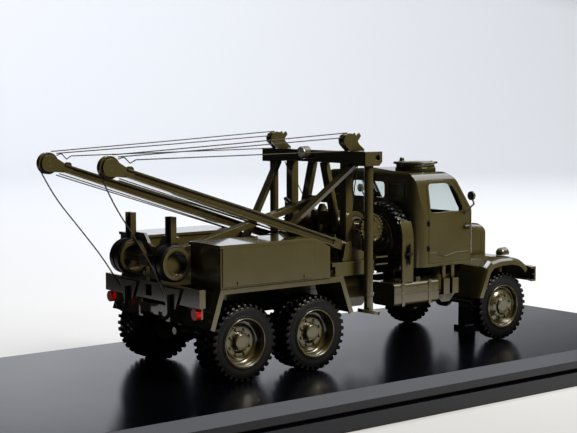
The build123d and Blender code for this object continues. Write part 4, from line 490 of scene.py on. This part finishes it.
tyre = tyrePart(tyreSettings)
rims = {end: rimParts(rimSettings, end) for end in ("front", "rear")}
for name in sorted(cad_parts):
    if not name.startswith("tyre_") and name != "spare_tyre":
        continue
    centre = nodeCentre(name)
    rimName = name.replace("tyre", "rim")
    if name == "spare_tyre":
        body, heading, centres, end = "truck", 90, [centre], "front"
    else:
        body, end = name.replace("tyre", "wheel"), "front" if "front" in name else "rear"
        side, heading = (1, 0) if name.endswith("left") else (-1, 180)
        centres = [(centre[0], side * reach, centre[2]) for reach in tyreSettings[end + "Centres"]]
    tyres = [facing(tyre, spot, heading) for spot in centres]
    fitted("mouldedTyre_" + name, tyres, "tyre_rubber", body, sharp=30, instead=name)
    rim = [facing(part, centres[0], heading) for part in rims[end]]
    fitted("pressed_" + rimName, rim, "olive_paint", body, instead=rimName)
print("wheels ready")


# Ropes

sides = (("left", 1), ("right", -1))
ropeSettings = {
    "diameter": 0.00044, "sides": 9, "strands": 3, "twist": 0.0016, "swell": 0.12, "hoistLength": 0.0435,
    # the hoist rope's points on the left, from the tip pulley down to its hook, in truck millimetres
    "hoistRoute": [(-151.1, 17.5, 61.4), (-147.6, 16.9, 53.9), (-139.3, 15.3, 43.2), (-131.6, 13.5, 32.8),
                   (-127.7, 11.9, 25.4)],
}


def smoothLine(points):
    # the points of a NURBS line through its control points' hull
    data = bpy.data.curves.new("routeLine", "CURVE")
    data.dimensions, data.resolution_u = "3D", 24
    line = data.splines.new("NURBS")
    line.points.add(len(points) - 1)
    line.points.foreach_set("co", np.column_stack([points, np.ones(len(points))]).ravel())
    line.order_u, line.use_endpoint_u = 3, True
    holder = bpy.data.objects.new("routeLine", data)
    bpy.context.scene.collection.objects.link(holder)
    bpy.context.view_layer.update()
    mesh = bpy.data.meshes.new_from_object(holder)
    found = np.array([v.co for v in mesh.vertices], float)
    bpy.data.objects.remove(holder)
    bpy.data.meshes.remove(mesh)
    bpy.data.curves.remove(data)
    return found


stepsPerTwist, fewestSteps, endShare = 6, 8, 1e-4    # the radius is drawn in to the last share at both ends


def ropePart(path, s):
    # a round section carried along a path in row metres, its radius swelling over each strand as it twists:
    # r = d / 2 (1 - w / 2 + w / 2 cos(n v - 2 pi x / twist)), with n strands and a swell of w
    path = np.asarray(path, float)
    run = np.concatenate([[0], np.cumsum(np.linalg.norm(np.diff(path, axis=0), axis=1))])
    places = np.linspace(0, run[-1], max(fewestSteps, int(run[-1] / s["twist"] * stepsPerTwist)))
    path = np.stack([np.interp(places, run, path[:, k]) for k in range(3)], 1)
    along = np.gradient(path, axis=0)
    along /= np.linalg.norm(along, axis=1)[:, None]
    across = np.cross(along, np.array([0.0, 1.0, 0.0]))
    across /= np.linalg.norm(across, axis=1)[:, None]
    third = np.cross(along, across)
    v = np.linspace(0, 2 * np.pi, s["sides"], endpoint=False)[None, :, None]
    turn = (places / s["twist"] * 2 * np.pi)[:, None, None]
    radius = s["diameter"] / 2 * (1 - s["swell"] / 2 + s["swell"] / 2 * np.cos(s["strands"] * v - turn))
    radius[[0, -1]] *= endShare
    grid = path[:, None] + radius * (np.cos(v) * across[:, None] + np.sin(v) * third[:, None])
    return shell(inTruck(grid), closeRows=False)


for side, sign in sides:
    route = place(np.array(ropeSettings["hoistRoute"]) * np.array([1, sign, 1]))
    line = smoothLine(route)
    rope = makePiece(f"hoistRope_{side}", [ropePart(line, ropeSettings)], finishes["rope_thread"], sharp=60)
    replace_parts(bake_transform(rope), f"hoist_rope_{side}")

# Ropes pulled tight: the stays from each boom's tip and lug to the gantry, the falls under the boom, and the
# two that drop from the gantry to the drums
tautSettings = {
    "diameter": 0.00036, "sides": 7, "strands": 3, "twist": 0.0014, "swell": 0.16,
    # x and z of each stay, which spreads from the boom's middle to the gantry sheave's
    "boomY": 17.5, "sheaveY": 18.5,
    "stays": [[(-147.3, 66.1), (-106.0, 68.35), (-64.2, 70.8)], [(-145.6, 65.5), (-106.0, 67.3), (-66.6, 69.3)],
              [(-145.5, 64.9), (-143.6, 65.4), (-141.9, 63.7), (-140.2, 64.6), (-63.9, 65.2)]],
    "stayEnds": [(-66.5, 18.5, 68.0), (-141.5, 17.5, 65.0)],
    # the boom's foot pin and the direction of its middle line, and along, across and aside of each fall
    "foot": (-64.5, 35.5), "slope": (0.9512, 0.3085),
    "falls": [[(84.5, -2.5, 0.35), (5.5, -1.95, 0.35)], [(84.0, -1.9, -0.45), (6.5, -1.9, -0.45)]],
    "drops": [[(-60.0, 18.4, 60.8), (-57.6, 12.2, 42.8)], [(-60.0, 17.5, 60.8), (-57.4, 6.4, 42.6)]],
}


def boomPlace(along, across, y, s):
    # a point so far along the boom from its foot pin, and so far across it
    c, n = s["slope"]
    return (s["foot"][0] - along * c + across * n, y, s["foot"][1] + along * n + across * c)


def stayParts(sign, s):
    parts = []
    for line in s["stays"]:
        spread = np.linspace(s["boomY"], s["sheaveY"], len(line))
        parts.append(ropePart(place([(x, sign * y, z) for (x, z), y in zip(line, spread)]), s))
    return parts


for side, sign in sides:
    mirror = np.array([1, sign, 1])
    piece = makePiece(f"stayRopes_{side}", stayParts(sign, tautSettings), finishes["rope_thread"], sharp=60)
    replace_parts(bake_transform(piece), f"stays_{side}")
    falls = [[boomPlace(along, across, sign * (tautSettings["boomY"] + aside), tautSettings)
              for along, across, aside in line] for line in tautSettings["falls"]]
    falls = [ropePart(place(line), tautSettings) for line in falls]
    fitted(f"boomFalls_{side}", falls, "rope_thread", f"boom_{side}", sharp=60)
    drops = [ropePart(place(np.array(line) * mirror), tautSettings) for line in tautSettings["drops"]]
    fitted(f"gantryFalls_{side}", drops, "rope_thread", "truck", sharp=60)
print("ropes ready")


# Winch gear

winchSettings = {
    "centre": (-55.2, 0.0, 40.9), "coreRadius": 2.4, "drum": (4.9, 12.6), "drumSteps": 40,
    "ropeRadius": 3.05, "ropeSwell": 0.17, "ropePitch": 0.62, "stepsPerPitch": 8,
    # radius, reach and tooth share, from the bore out and back
    "ratchet": [(0.9, -0.9, 0), (1.9, -0.9, 0), (2.0, -0.45, 0), (3.9, -0.35, 0), (4.1, -0.6, 0),
                (4.7, -0.6, 1), (4.7, 0.6, 1), (4.1, 0.6, 0), (3.9, 0.35, 0), (2.0, 0.45, 0), (1.9, 0.9, 0),
                (0.9, 0.9, 0)],
    "ratchetTeeth": (26, 0.55), "ratchetY": 19.2,
    "pinion": [(0.4, -1.0, 0), (1.0, -1.0, 0), (1.0, -0.6, 0), (2.3, -0.6, 1), (2.3, 0.6, 1), (1.0, 0.6, 0),
               (1.0, 1.0, 0), (0.4, 1.0, 0)],
    "pinionTeeth": (16, 0.45),
    # radius and reach
    "shaft": [(0, 12.9), (1.1, 12.9), (1.1, 19.9), (0.75, 20.3), (0, 20.3)], "shaftSteps": 24,
    "bolt": [(0, 0.3), (0.42, 0.3), (0.42, 0.62), (0.3, 0.75), (0, 0.75)], "boltCount": 6, "boltCircle": 3.0,
    # ribbed motor: flange, barrel with cooling ribs, end cap
    "motor": [(0, 0), (2.5, 0), (2.5, 0.7), (2.0, 0.8), (2.0, 1.3), (2.25, 1.4), (2.25, 1.8), (2.0, 1.9),
              (2.0, 2.4), (2.25, 2.5), (2.25, 2.9), (2.0, 3.0), (2.0, 3.5), (2.25, 3.6), (2.25, 4.0),
              (1.9, 4.2), (1.2, 4.9), (0, 4.9)],
    "motorSteps": 28,
    # place in truck millimetres and heading
    "pinions": [((-62.9, -5.6, 43.6), 0), ((-60.4, -5.6, 39.8), 0), ((-63.6, 5.8, 42.4), 0)],
    "motors": [((-62.6, -6.4, 36.4), 180), ((-62.8, 4.6, 36.6), 0), ((-64.6, -1.8, 34.6), 0)],
    # outline in x and z, reach along y, bevel: the gearbox and a bracket on each side of it
    "blocks": [([(-66.6, 31.3), (-60.2, 31.3), (-60.2, 35.2), (-61.4, 36.6), (-65.2, 36.6), (-66.6, 35.0)],
                (-3.4, 3.4), 0.3),
               ([(-62.0, 36.0), (-58.6, 36.0), (-58.6, 46.6), (-59.6, 47.8), (-61.2, 47.8), (-62.0, 46.4)],
                (-1.9, -1.0), 0.2),
               ([(-62.0, 36.0), (-58.6, 36.0), (-58.6, 44.6), (-59.6, 45.8), (-61.2, 45.8), (-62.0, 44.4)],
                (1.6, 2.5), 0.2)],
}


def woundParts(s):
    # the rope's turns on each drum, turned round its axle: r = R - w + w |cos(pi y / pitch)|
    low, high = s["drum"]
    reach = np.linspace(low, high, int((high - low) / s["ropePitch"] * s["stepsPerPitch"]))
    wave = s["ropeRadius"] - s["ropeSwell"] + s["ropeSwell"] * np.abs(np.cos(np.pi * reach / s["ropePitch"]))
    core = s["coreRadius"]
    coil = turned(np.concatenate([[(core, low)], np.stack([wave, reach], 1), [(core, high)]]), s["drumSteps"])
    return [facing(coil, s["centre"], heading) for heading in (0, 180)]


def winchParts(s):
    # shafts, ratchet wheels and their bolts at both ends, pinions and motors between them, gearbox and brackets
    parts = []
    shaft, ratchet = turned(s["shaft"], s["shaftSteps"]), toothed(s["ratchet"], *s["ratchetTeeth"])
    bolt, count = turned(s["bolt"], 6), s["boltCount"]
    x, y, z = s["centre"]
    for sign, heading in ((1, 0), (-1, 180)):
        wheelY = y + sign * s["ratchetY"]
        parts.append(facing(shaft, s["centre"], heading))
        parts.append(facing(ratchet, (x, wheelY, z), heading))
        for angle in np.arange(count) * 2 * math.pi / count:
            spot = (x + s["boltCircle"] * math.cos(angle), wheelY, z + s["boltCircle"] * math.sin(angle))
            parts.append(facing(bolt, spot, heading))
    pinion, motor = toothed(s["pinion"], *s["pinionTeeth"]), turned(s["motor"], s["motorSteps"])
    parts += [facing(pinion, spot, heading) for spot, heading in s["pinions"]]
    parts += [facing(motor, spot, heading) for spot, heading in s["motors"]]
    return parts + [prism(*block) for block in s["blocks"]]


leverSettings = {
    "knob": [(0, 0), (0.5, 0.1), (0.75, 0.5), (0.75, 0.9), (0.45, 1.3), (0, 1.4)], "knobSteps": 16,
    "knobSink": 0.2, "foot": 31.2, "halfWidth": 0.28, "bevel": 0.1,
    # x, y and top of each blade, and x from there at its foot, its top and its knob
    "places": [(-65.4, 9.6, 47.6), (-64.9, 11.0, 47.9), (-64.4, 12.4, 48.2)],
    "footX": (-0.2, 1.6), "topX": (0.35, -0.25), "knobX": 0.05,
    "quadrant": ([(-66.4, 31.2), (-62.4, 31.2), (-62.4, 35.0), (-63.2, 36.4), (-65.6, 36.4), (-66.4, 35.0)],
                 (8.8, 13.2), 0.3),
}


def leverParts(s):
    # control levers: a tapered blade with a knob, on a small quadrant
    parts, half = [], s["halfWidth"]
    knob = turned(s["knob"], s["knobSteps"])
    for x, y, top in s["places"]:
        blade = [(x + step, s["foot"]) for step in s["footX"]] + [(x + step, top) for step in s["topX"]]
        parts.append(prism(blade, (y - half, y + half), s["bevel"]))
        parts.append(upright(knob, (x + s["knobX"], y, top - s["knobSink"])))
    return parts + [prism(*s["quadrant"])]


fitted("woundWinchRope", woundParts(winchSettings), "rope_thread", "truck", sharp=60)
fitted("winchGear", winchParts(winchSettings), "olive_paint", "truck")
fitted("winchLevers", leverParts(leverSettings), "olive_paint", "truck")
print("winch gear ready")


# Small fittings, in truck millimetres. Each block is its outline in x and z, its reach along y and its bevel

hatchSettings = {
    "centre": (-28.0, -10.6), "steps": 64, "knobAside": 6.5, "knobSteps": 20,
    # radius and height z, from the middle of the lid out and down to the roof, and of its knob
    "lid": [(0, 61.0), (5.6, 61.0), (5.75, 60.86), (6.5, 60.8), (6.75, 60.84), (7.15, 60.78), (7.4, 60.5),
            (7.4, 60.15), (7.25, 59.98), (6.6, 59.98), (6.45, 59.7), (6.45, 58.9), (6.75, 58.7), (6.75, 57.6),
            (0, 57.6)],
    "knob": [(0, 60.7), (0.8, 60.7), (0.8, 61.3), (0.55, 61.85), (0, 61.9)],
}


def hatchParts(s):
    x, y = s["centre"]
    return [upright(turned(s["lid"], s["steps"]), (x, y, 0)),
            upright(turned(s["knob"], s["knobSteps"]), (x, y + s["knobAside"], 0))]


fitted("roofHatchLid", hatchParts(hatchSettings), "olive_paint", "truck", instead="roof_hatch")

tankSettings = {
    # foot tabs at the front edge of the bed: shape, heights, reaches
    "tab": [(-54.6, 0), (-49.6, 0), (-49.2, 0.3), (-49.6, 0.55), (-54.6, 0.55)],
    "tabHeights": (31.35, 29.1), "tabReaches": ((-21.0, -19.4), (19.4, 21.0)), "tabBevel": 0.12,
    # the pressed seam round the middle of the tank, and its two straps
    "seamAndStraps": [(rectangle(-50.6, -31.1, 19.9, 20.24), (-25.38, -14.9), 0.1),
                      (rectangle(-47.24, -46.04, 15.75, 23.35), (-25.33, -25.05), 0.08),
                      (rectangle(-35.66, -34.46, 15.75, 23.35), (-25.33, -25.05), 0.08)],
}


def tankParts(s):
    parts = []
    for foot in s["tabHeights"]:
        outline = [(x, foot + z) for x, z in s["tab"]]
        parts += [prism(outline, reach, s["tabBevel"]) for reach in s["tabReaches"]]
    return parts + [prism(*block) for block in s["seamAndStraps"]]


fitted("tankSeamAndTabs", tankParts(tankSettings), "olive_paint", "truck")

# a cross-headed swivel on its post, between the boxes
swivelSettings = {
    "cross": [([(-81.2, 37.2), (-74.8, 37.2), (-74.6, 38.0), (-75.2, 38.7), (-80.8, 38.7), (-81.4, 38.0)],
               (-0.9, 0.9), 0.25),
              (rectangle(-78.9, -77.1, 37.3, 38.9), (-3.4, 3.4), 0.3)],
    "post": [(0, 27.6), (3.2, 27.6), (3.2, 28.4), (1.5, 29.2), (1.3, 35.4), (2.4, 36.2), (2.4, 37.4),
             (0, 37.4)],
    "postCentre": (-78.0, 0, 0), "postSteps": 32,
}


def swivelParts(s):
    post = upright(turned(s["post"], s["postSteps"]), s["postCentre"])
    return [prism(*block) for block in s["cross"]] + [post]


fitted("deckSwivel", swivelParts(swivelSettings), "olive_paint", "truck")

latchSettings = {
    # a black lever with pointed ends, its reach counted from the outer face of the spare wheel's carrier
    "lever": [([(-44.7, 29.6), (-44.35, 28.9), (-44.0, 29.6), (-44.0, 34.8), (-44.35, 35.6), (-44.7, 34.8)],
               (-0.35, 0.2), 0.1),
              ([(-45.5, 31.9), (-43.2, 31.9), (-43.0, 32.3), (-43.2, 32.7), (-45.5, 32.7), (-45.7, 32.3)],
               (-0.3, 0.2), 0.1)],
    # the door hinges, on both sides
    "hingeX": (-35.1, -34.3), "hingeFeet": (32.6, 40.6), "hingeHeight": 1.5, "hingeReach": (23.9, 24.45),
    "hingeBevel": 0.12,
}


def latchParts(s):
    faceY = inTruck(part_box("spare_carrier")[0])[1]
    parts = [prism(outline, (faceY + low, faceY + high), bevel) for outline, (low, high), bevel in s["lever"]]
    for sign in (-1, 1):
        reach = sorted(sign * y for y in s["hingeReach"])
        for foot in s["hingeFeet"]:
            outline = rectangle(*s["hingeX"], foot, foot + s["hingeHeight"])
            parts.append(prism(outline, reach, s["hingeBevel"]))
    return parts


fitted("leverAndHinges", latchParts(latchSettings), "black_plastic", "truck")

# the work lamp's ribbed lens in its plated ring: radius, and reach towards the tail from just inside the front
# of the CAD lens
lampSettings = {
    "lens": [(0, 0.0), (1.62, 0.0), (1.62, 0.28), (1.38, 0.42), (1.26, 0.24), (1.0, 0.46), (0.86, 0.28),
             (0.6, 0.5), (0.46, 0.32), (0.2, 0.54), (0, 0.54)],
    "ring": [(1.55, 0.0), (1.98, 0.0), (2.0, 0.3), (1.85, 0.55), (1.62, 0.5), (1.55, 0.3)],
    "ribs": (14, 0.06), "plainInside": 0.3, "inside": 0.35, "ringSteps": 40, "heading": 90,
}


def lampParts(s):
    spot = nodeCentre("work_lamp_lens")
    spot[0] = inTruck(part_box("work_lamp_lens")[0])[0] + s["inside"]
    ribbed = toothed([(r, y, r > s["plainInside"]) for r, y in s["lens"]], *s["ribs"])
    ring = turned(s["ring"], s["ringSteps"])
    return facing(ribbed, spot, s["heading"]), facing(ring, spot, s["heading"])


lens, ring = lampParts(lampSettings)
fitted("workLampLens", [lens], "lamp_lens", "truck", sharp=20, instead="work_lamp_lens")
fitted("workLampRing", [ring], "screw_steel", "truck")

# the pressed line along the foot of each door
swageSettings = {
    "diameter": 0.00034, "sides": 8, "strands": 1, "twist": 0.0016, "swell": 0.0, "doorY": 24.0,
    "route": [(-34.0, 31.6), (-31.8, 31.8), (-29.9, 31.2), (-27.6, 30.3), (-25.6, 30.5), (-22.6, 31.4),
              (-16.2, 31.2)],
}


def swagePart(sign, s):
    line = smoothLine(place([(x, sign * s["doorY"], z) for x, z in s["route"]]))
    return ropePart(line, s)


fitted("doorSwage", [swagePart(sign, swageSettings) for sign in (-1, 1)], "olive_paint", "truck", sharp=60)

# rolled flanges along each boom: a band above and a band below its web on both faces, from root to nose. Half
# is how far the band's outer edge is from the boom's middle line, and reach how far it stands proud
flangeSettings = {
    "along": (5.3, 39.7, 83.2), "half": (1.25, 1.55, 1.25), "width": 0.42, "face": 1.5, "reach": 0.38,
    "sunk": 0.3, "bevel": 0.08,
}


def flangeParts(sign, s, boom):
    parts = []
    for over in (-1, 1):
        outer = [boomPlace(a, over * d, 0, boom) for a, d in zip(s["along"], s["half"])]
        inner = [boomPlace(a, over * (d - s["width"]), 0, boom) for a, d in zip(s["along"], s["half"])]
        outline = [(x, z) for x, y, z in outer + inner[::-1]]
        for step in (-1, 1):
            face = sign * boom["boomY"] + step * s["face"]
            reach = sorted((face - step * s["sunk"], face + step * s["reach"]))
            parts.append(prism(outline, reach, s["bevel"]))
    return parts


for side, sign in sides:
    flanges = flangeParts(sign, flangeSettings, tautSettings)
    fitted(f"boomFlanges_{side}", flanges, "olive_paint", f"boom_{side}")
print("fittings ready")


# Stage and light

stageSettings = {
    "floorRadius": 1.3, "flatRadius": 0.6, "sweep": 0.9, "height": 2.2, "arcPoints": 17, "steps": 96,
    # the near colour is painted shade round the room, the far colour the paper
    "far": "#f4f7fd", "near": "#101113", "grainSize": 60, "roughness": (0.85, 0.95),
    # the paper shows inside a cone round the camera's heading, and stops at a plane that leans to the right
    "cone": (0.92, 0.962), "lean": (0.7, 2), "edge": (1.14, 0.8),
    # metres from the model's middle, and metres ahead of the camera, with the share at the near end, where the
    # paper is painted darker as painted shade
    "under": (0.3, 0.2), "depth": (0.3, 0.62), "nearShadeShare": 0.68,
    "world": "#e8eef8", "worldStrength": 0.05,
    "toe": [(0.018, 0.009), (0.06, 0.053), (0.13, 0.13), (0.5, 0.5)],
}
lightSettings = [
    {"name": "keySoftbox", "place": (0.44, -1.04, 1.04), "aim": (0.0, 0.0, 0.03), "size": 0.4, "power": 24,
     "colour": "#fff5e2"},
    {"name": "topSoftbox", "place": (0.72, -0.1, 1.05), "aim": (0.0, 0.0, 0.0), "size": 1.0, "power": 6.5,
     "colour": "#f4f8ff"},
    {"name": "backdropLight", "place": (0.15, 0.8, 1.7), "aim": (0.42, 1.78, 0.9), "size": 1.0, "power": 29,
     "colour": "#f4f7fd"},
]


def paperAndPaintedShade(s):
    # pale paper under and beyond the model, and round the rest of the room a near-black surround, painted shade
    # for the unlit room
    material, tree, shader, where = newMaterial("paperBackdrop")
    grain = addNode(tree, "ShaderNodeTexNoise", {"Scale": perMetre(s["grainSize"]), "Detail": 2.0},
                    {"Vector": where})
    gloss = addNode(tree, "ShaderNodeMapRange", {"To Min": s["roughness"][0], "To Max": s["roughness"][1]},
                    {"Value": grain.outputs["Fac"]})
    tree.links.new(gloss.outputs[0], shader.inputs["Roughness"])
    yaw = math.radians(cameraSettings["yaw"])
    ahead = (math.sin(yaw), math.cos(yaw), 0)
    foot = place(cameraSettings["place"]) * np.array([1, 1, 0])
    seen = addNode(tree, "ShaderNodeVectorMath", {1: foot}, {0: where}, operation="SUBTRACT").outputs["Vector"]
    depth = addNode(tree, "ShaderNodeVectorMath", {1: ahead}, {0: seen}, operation="DOT_PRODUCT")
    far = addNode(tree, "ShaderNodeVectorMath", links={0: seen}, operation="LENGTH")
    cosine = addNode(tree, "ShaderNodeMath", links={0: depth.outputs["Value"], 1: far.outputs["Value"]},
                     operation="DIVIDE")
    beyond = addNode(tree, "ShaderNodeMapRange", {"From Min": s["cone"][0], "From Max": s["cone"][1]},
                     {"Value": cosine.outputs[0]}, interpolation_type="SMOOTHSTEP")
    reach = addNode(tree, "ShaderNodeVectorMath", links={0: where}, operation="LENGTH")
    under = addNode(tree, "ShaderNodeMapRange", {"From Min": s["under"][0], "From Max": s["under"][1]},
                    {"Value": reach.outputs["Value"]}, interpolation_type="SMOOTHSTEP")
    # painted shade: the paper greys towards the camera
    paintedFalloff = addNode(tree, "ShaderNodeMapRange",
                   {"From Min": s["depth"][0], "From Max": s["depth"][1], "To Min": s["nearShadeShare"]},
                   {"Value": depth.outputs["Value"]}, interpolation_type="SMOOTHSTEP")
    # the paper ends above and to the right of the picture, so the plinth mirrors it on its left only
    aside, up = s["lean"]
    tilt = addNode(tree, "ShaderNodeVectorMath", {1: (aside * math.cos(yaw), -aside * math.sin(yaw), up)},
                   {0: where}, operation="DOT_PRODUCT")
    paper = addNode(tree, "ShaderNodeMapRange", {"From Min": s["edge"][0], "From Max": s["edge"][1]},
                    {"Value": tilt.outputs["Value"]}, interpolation_type="SMOOTHSTEP")
    lit = addNode(tree, "ShaderNodeMath", links={0: beyond.outputs[0], 1: paper.outputs[0]},
                  operation="MULTIPLY")
    both = addNode(tree, "ShaderNodeMath", links={0: lit.outputs[0], 1: under.outputs[0]}, operation="MAXIMUM")
    share = addNode(tree, "ShaderNodeMath", links={0: both.outputs[0], 1: paintedFalloff.outputs[0]},
                    operation="MULTIPLY")
    colour = addNode(tree, "ShaderNodeMix", {6: linear(s["near"]), 7: linear(s["far"])},
                     {"Factor": share.outputs[0]}, data_type="RGBA")
    tree.links.new(colour.outputs[2], shader.inputs["Base Color"])
    return material


def makeStage(s):
    # a flat round floor whose edge sweeps up into a wall: x = r cos u, y = r sin u, r and z from the line
    angles = np.linspace(0, np.pi / 2, s["arcPoints"])
    arc = np.stack([s["floorRadius"] + s["sweep"] * np.sin(angles), s["sweep"] * (1 - np.cos(angles))], 1)
    line = np.concatenate([[(0.0, 0.0), (s["flatRadius"], 0.0)], arc,
                           [(s["floorRadius"] + s["sweep"], s["height"])]])
    u = np.linspace(0, 2 * np.pi, s["steps"], endpoint=False)[:, None]
    heights = np.broadcast_to(line[:, 1], (s["steps"], len(line)))
    grid = np.stack([line[:, 0] * np.cos(u), line[:, 0] * np.sin(u), heights], -1)
    mesh = bpy.data.meshes.new("backdrop")
    mesh.from_pydata(grid.reshape(-1, 3).tolist(), [], gridFaces(s["steps"], len(line), True, False).tolist())
    mesh.shade_smooth()
    mesh.materials.append(paperAndPaintedShade(s))
    floor = bpy.data.objects.new("backdrop", mesh)
    bpy.context.scene.collection.objects.link(floor)


def makeWorld(s):
    world = bpy.data.worlds.new("studio")
    world.use_nodes = True
    world.node_tree.nodes["Background"].inputs["Color"].default_value = linear(s["world"])
    world.node_tree.nodes["Background"].inputs["Strength"].default_value = s["worldStrength"]
    bpy.context.scene.world = world
    # the photograph's own curve: deep shadows, the rest left straight
    look = bpy.context.scene.view_settings
    look.view_transform, look.use_curve_mapping = "Standard", True
    for x, y in s["toe"]:
        look.curve_mapping.curves[3].points.new(x, y)
    look.curve_mapping.update()


def makeLight(s):
    data = bpy.data.lights.new(s["name"], "AREA")
    data.shape, data.size, data.energy = "SQUARE", s["size"], s["power"]
    data.color = linear(s["colour"])[:3]
    lamp = bpy.data.objects.new(s["name"], data)
    aim = Vector(s["aim"]) - Vector(s["place"])
    lamp.matrix_world = Matrix.Translation(s["place"]) @ aim.to_track_quat("-Z", "Y").to_matrix().to_4x4()
    bpy.context.scene.collection.objects.link(lamp)


makeStage(stageSettings)
makeWorld(stageSettings)
for light in lightSettings:
    makeLight(light)
print("stage and light ready")
